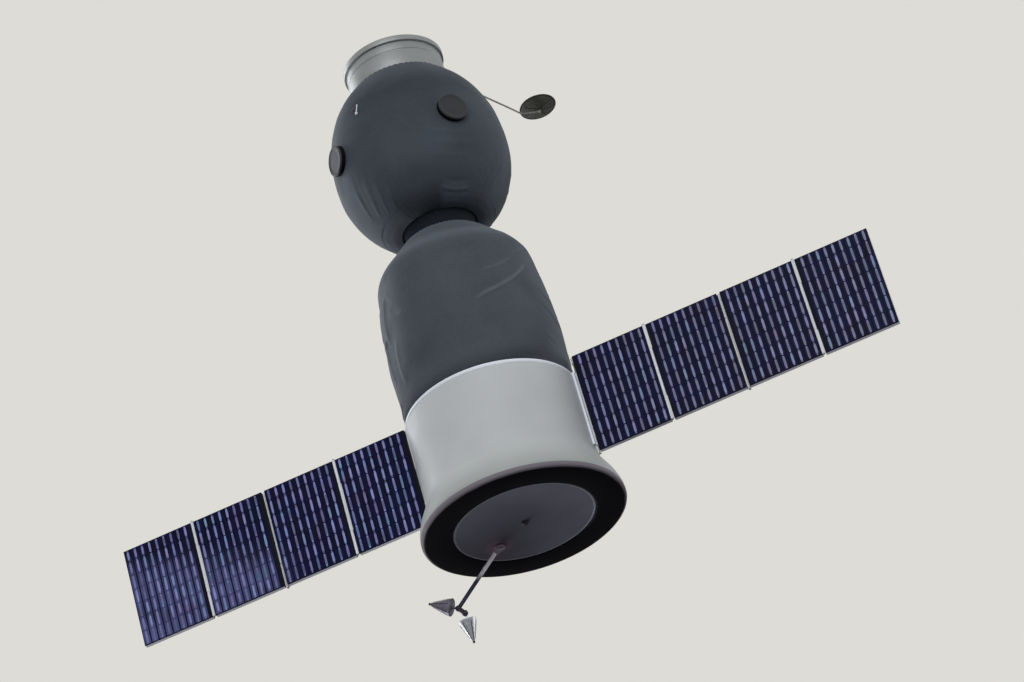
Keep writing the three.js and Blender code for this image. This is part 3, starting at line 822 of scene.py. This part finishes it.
def ring_of(name, count, radius, size, tilt, material, place):
    """Ribs, seams or stitches round a circle: length, width and thickness in mm"""
    long, wide, thick = (share * MM for share in size)
    return grown(name, ring_tree(), {
        "Count": count, "Radius": radius * MM, "Length": long, "Width": wide, "Thickness": thick,
        "Tilt": tilt, "Material": material}, place)


# Cloth


def crease_field(azimuth, h, radius, creases):
    """Displacement in mm and paleness of a list of creases, at points of an unrolled cover. The paleness is
    painted light: painted highlight above zero, painted shade below it
    """
    rise, pale = np.zeros_like(h), np.zeros_like(h)
    scale = math.pi * radius / 180
    for az0, h0, az1, h1, width, height, tone in creases:
        x, y = ((azimuth - az0 + 180) % 360 - 180) * scale, h - h0
        dx, dy = ((az1 - az0 + 180) % 360 - 180) * scale, h1 - h0
        reach = math.hypot(dx, dy)
        t = (x * dx + y * dy) / reach**2
        # A crease bows a little between its ends, fades out past them and has a hollow along one side
        side = (x * dy - y * dx) / reach - 0.06 * reach * np.sin(math.pi * np.clip(t, 0, 1))
        ends = np.clip(np.minimum(t, 1 - t) * 6 + 0.5, 0, 1)
        fall = np.exp(-(side / width) ** 2)
        dip = 0.45 * np.exp(-((side - 1.9 * width) / (1.3 * width)) ** 2)
        rise += height * (fall - dip) * ends
        # The paleness paints a highlight along the crease, or painted shade where its tone is below zero
        pale += tone * fall * ends
    return rise, np.clip(pale, -1, 1)


def stray_creases(seed, count, heights, sides, height):
    """Soft creases scattered over a cover, at fixed random places"""
    draw = np.random.default_rng(seed)
    made = []
    for _ in range(count):
        az0, h0 = draw.uniform(*sides), draw.uniform(*heights)
        lean = draw.uniform(-1, 1)
        # Each stray crease gets a paleness of 0.08, a faint painted highlight along its top
        made.append((az0, h0, az0 + 16 * lean + 4, h0 + draw.uniform(8, 34) * (1 - abs(lean) * 0.6),
                     draw.uniform(1.6, 3.4), height * draw.uniform(0.4, 1.0), 0.08))
    return made


def cover(name, profile, counts, creases, gathers, material, settings):
    """A cloth cover: a profile turned about the axis, with creases and gathered ends.

    counts are the rows and columns of the mesh. gathers are (edge height, depth, pleat height, paleness),
    where the paleness is a painted highlight over the gathered band.
    Returns the piece, its flat size in m and its area in square metres.
    """
    rows, columns = counts
    outline, run = smoothed(profile, rows)
    slope = np.gradient(outline, axis=0)
    normal = np.column_stack([slope[:, 1], -slope[:, 0]])
    normal /= np.linalg.norm(normal, axis=1)[:, None]
    azimuth, h = np.meshgrid(np.arange(columns) * 360 / columns, outline[:, 1])
    mean_r = float(outline[:, 0].mean())
    rise, pale = crease_field(azimuth, h, mean_r, creases)
    # The cloth lies tight along its sewn edges and is slack from the ninth row inwards
    steps = np.arange(rows)
    slack = np.clip(np.minimum(steps, steps[::-1]) / 9, 0, 1)
    for i in range(rows):
        for j in range(columns):
            a = math.radians(azimuth[i, j])
            spot = Vector((math.cos(a) * outline[i, 0], math.sin(a) * outline[i, 0], h[i, j]))
            # Height and breadth of the waves in mm
            for wave, broad in ((0.9, 62), (0.6, 27), (0.2, 12)):
                rise[i, j] += slack[i] * wave * noise.noise(spot / broad)
            for edge, depth, pleat, tone in gathers:
                near = max(0.0, 1 - abs(h[i, j] - edge) / depth) ** 1.5
                if near > 0:
                    # Gathers wander a little and each has a weaker fold beside it
                    wander = 2.2 * noise.noise(spot / 24) + a * settings.pleats
                    fold = math.sin(wander) + 0.4 * math.sin(2.3 * wander + 1)
                    rise[i, j] += pleat * near * fold
                    # The band and the tops of the pleats are painted paler, as a painted highlight
                    pale[i, j] = min(1.0, pale[i, j] + near * (tone + 0.16 * pleat * max(0.0, fold)))
    rise *= settings.crease
    out_r = outline[:, :1] + normal[:, :1] * rise
    out_h = outline[:, 1:] + normal[:, 1:] * rise - HEIGHT
    turn = np.radians(azimuth)
    grid = np.stack([out_r * np.cos(turn), out_r * np.sin(turn), out_h], axis=-1)
    faces = [(i * columns + j, i * columns + (j + 1) % columns,
              (i + 1) * columns + (j + 1) % columns, (i + 1) * columns + j)
             for i in range(rows - 1) for j in range(columns)]
    made = piece(name, [(grid.reshape(-1, 3), faces)], [material])
    mesh = made.data
    # The crease attribute holds the painted light: painted highlight above zero, painted shade below it
    tone = mesh.attributes.new("crease", "FLOAT", "POINT")
    tone.data.foreach_set("value", pale.reshape(-1).astype(np.float32))
    layer = mesh.uv_layers.new(name="cloth")
    around, up = math.tau * mean_r * MM / columns, run * MM / (rows - 1)
    for polygon in mesh.polygons:
        i, j = divmod(polygon.index, columns)
        for loop, (di, dj) in zip(polygon.loop_indices, ((0, 0), (0, 1), (1, 1), (1, 0))):
            layer.data[loop].uv = ((j + dj) * around, (i + di) * up)
    wall = made.modifiers.new("wall", "SOLIDIFY")
    wall.thickness = settings.thickness
    wall.offset = -1
    area = sum(math.pi * (a[0] + b[0]) * math.dist(a, b) for a, b in zip(outline, outline[1:]))
    return made, (math.tau * outline[:, 0].max() * MM, run * MM), area * MM * MM


def orbital_radius(h):
    """Radius of the forward module at a height"""
    if h < EQUATOR_H:
        return ORBITAL_R * math.sqrt(1 - ((h - EQUATOR_H) / LOW_AXIS) ** 2)
    return ORBITAL_R * (1 - ((h - EQUATOR_H) / TOP_AXIS) ** TOP_POWER) ** (1 / TOP_ROOT)


class CRAFT_OT_covers(bpy.types.Operator):
    """Sew the cloth covers of the forward module, the bell and the neck"""

    bl_idname = "craft.covers"
    bl_label = "Cloth covers"

    def execute(self, context):
        settings = context.scene.craft_covers
        forward = coated_cloth("Coated nylon, forward cover", settings.forward_cloth, 0.22)
        bell = coated_cloth("Coated nylon, bell cover", settings.bell_cloth, 0.18)
        # The neck's cloth is nearly black, as painted shade where the neck lies between the modules
        dark = coated_cloth("Coated nylon, neck", linear("#1f2429"), 0.0, 0.85, 0.1)
        foot = [(50.9, 461.3), (57, 461.1), (63, 461.7), (67, 463.2)]
        body = [(orbital_radius(h), h) for h in np.linspace(467, 689, 24)]
        hem = [(70.4, 690.9), (69.6, 691.9), (68.7, 692.4), (67.7, 692.2)]
        # Name, slot, CAD node, cloth, profile, mesh rows and columns, creases, gathers, and how and on what
        # it is held
        for name, slot, node, cloth, profile, counts, creases, gathers, held, rests_on in (
            ("orbital_cover", "slate_fabric", "orbital_module", forward, foot + body + hem, (132, 252),
             ORBITAL_CREASES + stray_creases(11, 26, (480, 680), (10, 200), 0.7),
             [(461, 22, 0.1, 0), (692, 18, 0.4, 0)], "stretched", ["docking_collar"]),
            ("bell_cover", "slate_fabric", "descent_module", bell, BELL_ROWS, (128, 256),
             BELL_CREASES + stray_creases(23, 34, (190, 380), (8, 208), 1.0),
             # The upper gather's paleness of 0.32 paints a highlight on the bell's top band
             [(438, 34, 0.35, 0.32), (175, 9, 0.3, 0)], "stretched", ["service_rim"]),
            ("neck_cloth", "neck_fabric", "neck_ring", dark, NECK_ROWS, (24, 288), [],
             [(437, 20, 0.3, 0), (462, 20, 0.3, 0)], "gathered", ["bell_cover", "orbital_cover"]),
        ):
            made, flat, area = cover(name, profile, counts, creases, gathers, cloth, settings)
            settle(made, slot, node)
        # Name, radius, height, cloth, count, and lean of the surface there
        for name, radius, h, cloth, count, lean in (
                ("bell_hem_stitches", 114.3, 181, bell, 150, math.pi / 2),
                ("forward_hem_stitches", orbital_radius(470), 470, forward, 96, 2.41)):
            place = Matrix.Translation((0, 0, at(h)))
            settle(ring_of(name, count, radius, (3.2, 0.7, 0.6), lean, cloth, place), "slate_fabric")
        return {"FINISHED"}


class CRAFT_OT_hull(bpy.types.Operator):
    """Turn the hull, the aft ring and disc, and the docking end"""

    bl_idname = "craft.hull"
    bl_label = "Hull and docking end"

    def execute(self, context):
        settings = context.scene.craft_hull
        paint = satin_enamel("Satin enamel, hull white", settings.paint, linear("#a3a69f"))
        bright = satin_enamel("Satin enamel, bright edge", settings.rim, linear("#c4c6c8"), 0.36)
        black = ring_lacquer("Satin lacquer, black ring", settings.ring)
        violet = disc_lacquer("Satin lacquer, violet-grey disc", settings.disc)
        dark = metal_lacquer("dark fittings", "#2c2b2e")
        silver = turned_aluminium("Turned aluminium, silver-grey", settings.collar)
        sweep = [tuple(row) for row in smoothed(SKIRT_ROWS, 26)[0]]
        inner, groove = RIM_INNER_R - 0.3, COLLAR_R - 0.7
        # Name, slot, CAD nodes, finish, edge radius, segments, profile, and whether it is a closed ring
        for name, slot, nodes, finish, edge, segments, profile, ring in (
            ("service_hull", "white_paint", ["flare_skirt", "service_cylinder"], paint, 0.4, FINE, [
                (0, RING_TOP_H + 0.3), (SKIRT_R, RING_TOP_H + 0.3), *sweep, (HULL_R, 110), (HULL_R, RIM_H),
                (inner, RIM_H), (inner, RIM_TOP_H), (0, RIM_TOP_H)], False),
            ("rim_band", "bright_rim", ["service_rim"], bright, 2.2, FINE, [
                (RIM_INNER_R, RIM_H + 0.2), (HULL_R, RIM_H + 0.2), (HULL_R, RIM_TOP_H),
                (RIM_INNER_R, RIM_TOP_H)], True),
            ("aft_ring", "black_ring", ["base_ring"], black, 1.0, FINE, [
                (RING_INNER_R, RING_FACE_H), (130.5, RING_FACE_H), (133.6, -2.4), (135.7, -0.8),
                (RING_R, 1.6), (RING_R, RING_TOP_H), (RING_INNER_R, RING_TOP_H)], True),
            ("aft_face", "aft_disc", ["aft_disc"], violet, 0.5, FINE, [
                (0, DISC_H), (40, DISC_H), (91.6, DISC_H), (92.2, DISC_H - 0.5), (94.2, DISC_H - 0.5),
                (DISC_R, DISC_H + 0.6), (DISC_R, RING_TOP_H), (0, RING_TOP_H)], False),
            ("docking_drum", "collar_paint", ["docking_collar"], silver, 0.5, FINE, [
                (0, COLLAR_FOOT_H), (COLLAR_R, COLLAR_FOOT_H), (COLLAR_R, 716), (groove, 716.6),
                (groove, 718.2), (COLLAR_R, 718.8), (COLLAR_R, 730.7), (0, 730.7)], False),
            ("docking_face_ring", "collar_paint", ["docking_ring"], silver, 0.5, FINE, [
                (0, 731), (DOCK_RING_R, 731), (DOCK_RING_R, 738.5), (68.5, 740), (50, 740), (50, 737),
                (42, 737), (42, 740), (24, 740), (23, 739.4), (0, 739.4)], False),
            ("disc_boss", "dark_metal", ["disc_bolt"], dark, 0.3, SMALL, [
                (0, BOLT_H - 3.6), (1.4, BOLT_H - 3.6), (1.8, BOLT_H - 2.6), (3.4, BOLT_H - 2.6),
                (4.2, BOLT_H - 1.6), (4.4, BOLT_H - 0.4), (5.6, BOLT_H - 0.2), (5.6, BOLT_H),
                (0, BOLT_H)], False),
        ):
            hung = [(r, h - HEIGHT) for r, h in profile]
            settle(piece(name, [spun(hung, edge, segments, ring)], [finish]), slot, *nodes)
        return {"FINISHED"}


class CRAFT_OT_ports(bpy.types.Operator):
    """Fit the port covers and the signal lamp"""

    bl_idname = "craft.ports"
    bl_label = "Ports and lamp"

    def execute(self, context):
        settings = context.scene.craft_covers
        cloth = coated_cloth("Coated nylon, port cover", settings.port_cloth, 0.4, 0.6, 0.3)
        # The port walls are nearly black, as painted shade under the drums
        rubber = painted_shade_wall("Nearly black port wall, painted shade")
        white = moulded_acrylic("Moulded acrylic, lamp", linear("#eef1f3"))
        grey = metal_lacquer("lamp stub", "#4a4c50", 0.6, 0.0)
        for name, azimuth in PORTS.items():
            self.port(name, azimuth, [rubber, cloth])
        # The lamp's stub points outwards; a white bead and a whisker stand at its foot
        foot, tip = polar(-110, 109.6, 617.9), polar(-110, 120, 621)
        long = (tip - foot).length
        stub = spun([(0, 0), (3.1, 0), (3.1, 5.6), (2.2, 6.4), (2.2, long - 1), (1.2, long), (0, long)], 0.5)
        whisker = [polar(-108.6, 117.4, 614), polar(-107.8, 116.6, 620), polar(-107, 115.6, 626)]
        shells = [moved(stub, aimed(foot, tip - foot)), ball(polar(-108.6, 117.6, 612.6), 2.1),
                  swept(whisker, 0.8, 12)]
        settle(piece("lamp_peg", shells, [grey, white], (0, 1, 1)), "bright_rim", "signal_lamp")
        return {"FINISHED"}

    def port(self, name, azimuth, finishes):
        """A drum with a nearly black wall, which paints the shade under it, and a cloth front"""
        # Share of the radius and height over the face, or None for the module's skin; the wall comes first
        rows = [(0, None), (0.5, None), (1, None), (1, -2.6), (1.0, -1.2), (0.975, -0.35), (0.93, 0),
                (0.87, -0.05), (0.83, -0.4), (0.79, -0.7), (0.6, -0.6), (0.3, -0.5), (0, -0.45)]
        wall_rows = 3
        turn = Matrix.Translation((0, 0, PORT_H - HEIGHT)) @ aimed((0, 0, 0), polar(azimuth, 1, HEIGHT))
        points, faces = turned([(PORT_R * share, 0.0) for share, _ in rows], MEDIUM)
        heights = [over for share, over in rows for _ in range(MEDIUM if share else 1)]
        lifted = [(x, y, self.skin(turn, x, y) if over is None else PORT_FACE + over)
                  for (x, y, _), over in zip(points, heights)]
        made = piece("port_" + name, [moved((lifted, faces), turn)], finishes)
        mesh = made.data
        mesh.polygons.foreach_set("material_index", [int(n >= wall_rows * MEDIUM) for n in range(len(faces))])
        layer = mesh.uv_layers.new(name="cloth")
        for loop in mesh.loops:
            spot = turn.inverted() @ (mesh.vertices[loop.vertex_index].co / MM)
            layer.data[loop.index].uv = (spot.x * MM, spot.y * MM)
        mesh.attributes.new("crease", "FLOAT", "POINT")
        settle(made, "port_cover", "port_cover_" + name)

    @staticmethod
    def skin(turn, x, y):
        """Height along the port's axis of the module's skin, plus the clearance over its cloth"""
        low, high = 0.0, 160.0
        for _ in range(40):
            middle = (low + high) / 2
            spot = turn @ Vector((x, y, middle))
            inside = math.hypot(spot.x, spot.y) < orbital_radius(spot.z + HEIGHT)
            low, high = (middle, high) if inside else (low, middle)
        return low + PORT_CLEARANCE


class CRAFT_OT_antennas(bpy.types.Operator):
    """Spin the two dishes and bend their booms"""

    bl_idname = "craft.antennas"
    bl_label = "Dish antennas"

    def execute(self, context):
        olive = metal_lacquer("olive dish", "#5f5e52", 0.6, 0.0, 7)
        edge = metal_lacquer("dish edge", "#33312c", 0.55, 0.0)
        pale = metal_lacquer("pale dish", "#b5b2aa", 0.5, 0.1, 8)
        rod = metal_lacquer("grey rod", "#8b8a82", 0.5, 0.1)
        self.antenna("side", "dish_mesh", (olive, edge, rod), 40, Vector((-0.054, 0.065, 1)), (195.8, 659),
                     [(66.4, 718), (118, 685), (155, 661.2), (166, 654), (173.5, 652.2)])
        self.antenna("forward", "pale_dish", (pale, pale, rod), 125, polar(125, 1, 1.2 + HEIGHT), (132, 706),
                     [(85, 676), (104, 683.6), (112, 687)])
        return {"FINISHED"}

    @staticmethod
    def antenna(name, slot, finishes, azimuth, facing, middle, path):
        """A dish on its boom, in one plane through the axis. Places there are (radius, height)"""
        bowl, edge, rod = finishes
        centre, *path = (polar(azimuth, *place) for place in (middle, *path))
        look = facing.normalized()
        turn = aimed(centre, look)
        back = [(DISH_R * s, DISH_DEPTH * s * s) for s in (0.2, 0.4, 0.6, 0.8, 0.96)]
        front = [(r, h + 0.9) for r, h in reversed(back)]
        dish = turned([(0, 0), *back, *front, (4.2, 1.2), (3.8, 2.2), (0, 2.4)], MEDIUM)
        bead_r, lip = 0.9, DISH_DEPTH * 0.98
        rim = turned([(DISH_R - bead_r + bead_r * math.cos(a), lip + bead_r * math.sin(a))
                      for a in (math.tau * i / 10 for i in range(10))], MEDIUM, True)
        hub = spun([(0, -2.5), (2.6, -2.5), (3.4, -1.8), (3.4, 0.3), (0, 0.3)], 0.4)
        made = piece(name + "_bowl", [moved(s, turn) for s in (dish, rim, hub)], [bowl, edge], (0, 1, 1))
        settle(made, slot, name + "_dish")
        # The ribs lie along the bowl's slope, half way out
        slope = math.atan2(DISH_DEPTH * 0.62, DISH_R * 0.72)
        place = turn.copy()
        place.translation = (centre + look * DISH_DEPTH * 0.24) * MM
        size = (0.76 * DISH_R, 0.9, 0.9)
        settle(ring_of(name + "_ribs", 8, 0.5 * DISH_R, size, math.pi - slope, bowl, place), slot)
        knob = centre + look * -4.0
        foot = spun([(0, 0), (4.6, 0), (4.6, 1.4), (3, 2.2), (2.6, 5), (0, 5)], 0.5)
        shells = [swept(spline([*path, knob], 8), 1.25), moved(foot, aimed(path[0], path[1] - path[0])),
                  ball(knob, 2.3)]
        settle(piece(name + "_strut", shells, [rod]), "dark_metal", name + "_boom")


class CRAFT_OT_aft_boom(bpy.types.Operator):
    """Set the aft boom with its two cone antennas"""

    bl_idname = "craft.aft_boom"
    bl_label = "Aft boom and cones"

    def execute(self, context):
        dark = metal_lacquer("dark antenna parts", "#2c2830", 0.55, 0.1)
        violet = metal_lacquer("violet-grey foot", "#857a86", 0.5, 0.1)
        grey = metal_lacquer("violet-grey cone", "#6e6874", 0.5, 0.1)
        # The boom's white near colour paints the highlight on its upper part
        steel = drawn_steel("Drawn steel, aft boom", linear("#fbf4f7"), linear("#2c2e46"), -30, -44)
        mirror = polished_aluminium("Polished aluminium, aft cone", linear("#eeeff3"))
        along, across = BOOM_END - BOOM_FOOT, BRACKET_END - BOOM_END
        flange = spun([(0, -1.6), (7.6, -1.6), (8, 0), (0, 0)], 0.4)
        socket = spun([(0, 1.2), (4.4, 1.2), (4.4, 7.6), (3.4, 8.4), (3.4, 11), (0, 11)], 0.4)
        shells = [moved(flange, Matrix.Translation(BOOM_FOOT - Vector((0, 0, 0.9)))),
                  moved(socket, aimed(BOOM_FOOT, along))]
        settle(piece("boom_foot", shells, [violet]), "dark_metal", "boom_socket")
        steps = (11.1, 30, 50, 70, along.length - 3.6)
        rod = swept([BOOM_FOOT + along.normalized() * d for d in steps], AFT_BOOM_R, 24)
        settle(piece("boom_rod", [rod], [steel]), "steel_rod", "aft_boom")
        middle = BOOM_END + across / 2
        collar = spun([(0, -4), (3.1, -4), (3.1, 4), (0, 4)], 0.5)
        shells = [swept([BOOM_END, middle, BRACKET_END], 2.5, 20), ball(BOOM_END, 4.2),
                  ball(BRACKET_END, 4.2), moved(collar, aimed(middle, across))]
        settle(piece("cone_bracket", shells, [dark]), "dark_metal", "boom_bracket")
        horn = spun([(0, 0), (1.6, 0), (1.6, 3.6), (10.8, 3.9), (12, 4.8), (11.7, 5.9), (1.7, 33.4),
                     (0, 33.4)], 0.35, MEDIUM)
        tip = spun([(0, 33.3), (1.75, 33.3), (1.75, 35), (1.1, 36), (0, 36)], 0.3)
        for name, slot, finish, knob, direction in (
                ("outboard", "dark_metal", grey, BOOM_END, Vector((-0.86, -0.16, 0.48))),
                ("aft", "polished_cone", mirror, BRACKET_END, Vector((-0.05, 0.29, -0.95)))):
            turn = aimed(knob + direction.normalized() * 4.5, direction)
            shells = [moved(horn, turn), moved(tip, turn)]
            settle(piece(name + "_horn", shells, [finish, dark], (0, 1)), slot, name + "_cone")
            # The seams lie along the cone's side, half way up
            place = turn @ Matrix.Translation((0, 0, 19.9))
            place.translation = place.translation * MM
            lean = math.atan2(27.4, 10.0)
            settle(ring_of(name + "_horn_seams", 6, 6.9, (27, 0.8, 0.4), lean, dark, place), slot)
        return {"FINISHED"}


class CRAFT_OT_wings(bpy.types.Operator):
    """Lay the cells on the folding wings and paint the boards, hinges and rails"""

    bl_idname = "craft.wings"
    bl_label = "Folding cell wings"

    def execute(self, context):
        settings = context.scene.craft_wings
        board = wing_board("Laminated board, wings", settings.hinge)
        rail = satin_enamel("Satin enamel, root rails", context.scene.craft_hull.rim, linear("#c9cbd2"), 0.38)
        pin = drawn_steel("Drawn steel, hinge pins", linear("#b9b8b6"), linear("#a8a7a6"), 50, 200)
        cell = silicon_cell("Silicon cell, blue coat", settings.cell)
        strip = contact_strip("Tinned strip, violet film", settings.strip)
        for node_name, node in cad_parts.items():
            for prefix, finish in (("panel_", board), ("hinge_pin_", pin), ("root_rail_", rail)):
                if node_name.startswith(prefix):
                    for slot in node.material_slots:
                        slot.material = finish
        tree = cell_field_tree()
        field = (CHORD - 2 * FIELD_BORDER) * MM
        values = {
            "Columns": int(PANEL_W * MM / settings.column_pitch), "Rows": int(field / settings.row_pitch) + 2,
            "Column Pitch": settings.column_pitch, "Row Pitch": settings.row_pitch,
            "First Row": FIRST_ROW * MM, "Field Length": field, "Seam": settings.seam,
            "Row Seam": settings.row_seam, "Cell Height": settings.cell_height, "Strip Width": 0.38,
            "Strip Length": 0.67, "Tail Width": 0.27, "Cell Material": cell, "Strip Material": strip}
        # The field's x, y and z become the craft's x, z and -y
        upright = Matrix(((1, 0, 0, 0), (0, 0, -1, 0), (0, 1, 0, 0), (0, 0, 0, 1)))
        for side_name, side in (("right", 1), ("left", -1)):
            for number in range(1, PANELS + 1):
                middle = ROOT_AXIS_X + HINGE_GAP / 2 + PANEL_W / 2 + PITCH * (number - 1) + FIELD_SHIFT
                corner = Vector((side * middle * MM, -PANEL_HALF_T * MM, at(WING_FOOT_H + FIELD_BORDER)))
                values["Seed"] = 10 * number + (side > 0)
                place = Matrix.Translation(corner) @ upright
                made = grown(f"cells_{side_name}_{number}", tree, values, place)
                settle(made, "solar_cells", body=f"{side_name}_wing_{number}")
        return {"FINISHED"}


class CRAFT_OT_stage(bpy.types.Operator):
    """Set the floor, the soft light and the camera"""

    bl_idname = "craft.stage"
    bl_label = "Stage"

    def execute(self, context):
        scene = context.scene
        settings = scene.craft_stage
        self.camera(scene)
        self.surroundings(scene, settings)
        self.floor(settings)
        # Name, place, size in metres, and share of the key light's power
        for name, place, size, share in (
                ("key", (1.4, -5.4, 0.4), 4.5, 1.85), ("left_window", (-4.2, 1.9, 1.7), 3.2, 1.1),
                ("low_window", (-4.0, 2.2, -1.9), 2.4, 1.5), ("right_window", (4.4, 2.8, -0.4), 3.2, 0.8),
                ("top_window", (0.4, 0.8, 4.6), 5.0, 0.2)):
            light = bpy.data.lights.new(name, "AREA")
            light.size = size
            light.energy = settings.key_power * share
            light.color = settings.sky[:3]
            lamp = link(name, light)
            lamp.location = place
            lamp.rotation_euler = (CAMERA_AIM - Vector(place)).to_track_quat("-Z", "Y").to_euler()
        scene.view_settings.view_transform = "Standard"
        return {"FINISHED"}

    @staticmethod
    def camera(scene):
        """Stands the camera where the photograph was taken"""
        data = bpy.data.cameras.new("camera")
        data.lens = CAMERA_LENS
        data.clip_end = 100
        forward = (CAMERA_AIM - CAMERA_PLACE).normalized()
        right = forward.cross(CAMERA_UP).normalized()
        turn = Matrix((right, right.cross(forward), -forward)).transposed().to_4x4()
        scene.camera = link("camera", data)
        scene.camera.matrix_world = Matrix.Translation(CAMERA_PLACE) @ turn

    @staticmethod
    def surroundings(scene, settings):
        """Even light, strong from above and weak from below, before a backdrop that stays plain and pale"""
        world = bpy.data.worlds.new("surroundings")
        world.use_nodes = True
        world.node_tree.nodes.clear()
        add = functools.partial(add_node, world.node_tree)
        up = add("SeparateXYZ", add("TexCoord").outputs["Generated"]).outputs[2]
        strength = add("MapRange", up, -0.45, 0.35, settings.ground_strength, settings.sky_strength, **SMOOTH)
        light = add("Background", settings.sky[:], strength)
        backdrop = add("Background", settings.floor[:], 0.92)
        seen = add("LightPath").outputs["Is Camera Ray"]
        add("OutputWorld", add("MixShader", seen, light, backdrop))
        scene.world = world

    @staticmethod
    def floor(settings):
        """Lays a floor without shadow or bounced light, as the surroundings set the light from below"""
        corners = [(x * FLOOR_HALF, y * FLOOR_HALF, FLOOR_Z) for x, y in ((-1, -1), (1, -1), (1, 1), (-1, 1))]
        mesh = bpy.data.meshes.new("floor")
        mesh.from_pydata(corners, [], [(0, 1, 2, 3)])
        mesh.materials.append(floor_paint("Matt floor paint", settings.floor))
        made = link("floor", mesh)
        made.visible_diffuse = False
        made.visible_glossy = False
        made.visible_shadow = False


class CRAFT_PT_panel(bpy.types.Panel):
    """Lists the parts of the spacecraft in the sidebar"""

    bl_label = "Spacecraft"
    bl_idname = "CRAFT_PT_panel"
    bl_space_type = "VIEW_3D"
    bl_region_type = "UI"
    bl_category = "Spacecraft"

    def draw(self, context):
        for group, operators in PANEL_ROWS:
            box = self.layout.box()
            settings = getattr(context.scene, group)
            for key in settings.__annotations__:
                box.prop(settings, key)
            for operator in operators:
                box.operator(operator)


GROUPS = {
    "craft_covers": CoverSettings,
    "craft_hull": HullSettings,
    "craft_wings": WingSettings,
    "craft_stage": StageSettings,
}
PANEL_ROWS = (
    ("craft_covers", ("craft.covers", "craft.ports")),
    ("craft_hull", ("craft.hull", "craft.antennas", "craft.aft_boom")),
    ("craft_wings", ("craft.wings",)),
    ("craft_stage", ("craft.stage",)),
)
CLASSES = (
    *GROUPS.values(), CRAFT_OT_covers, CRAFT_OT_hull, CRAFT_OT_ports, CRAFT_OT_antennas,
    CRAFT_OT_aft_boom, CRAFT_OT_wings, CRAFT_OT_stage, CRAFT_PT_panel,
)


def register():
    """Makes the settings, operators and panel known"""
    for each in CLASSES:
        bpy.utils.register_class(each)
    for key, group in GROUPS.items():
        setattr(bpy.types.Scene, key, bpy.props.PointerProperty(type=group))


def unregister():
    """Takes the settings, operators and panel away again"""
    for key in GROUPS:
        delattr(bpy.types.Scene, key)
    for each in reversed(CLASSES):
        bpy.utils.unregister_class(each)


def main():
    """Builds every piece"""
    register()
    bpy.ops.craft.covers()
    bpy.ops.craft.hull()
    bpy.ops.craft.ports()
    bpy.ops.craft.antennas()
    bpy.ops.craft.aft_boom()
    bpy.ops.craft.wings()
    bpy.ops.craft.stage()


if __name__ == "__main__":
    main()
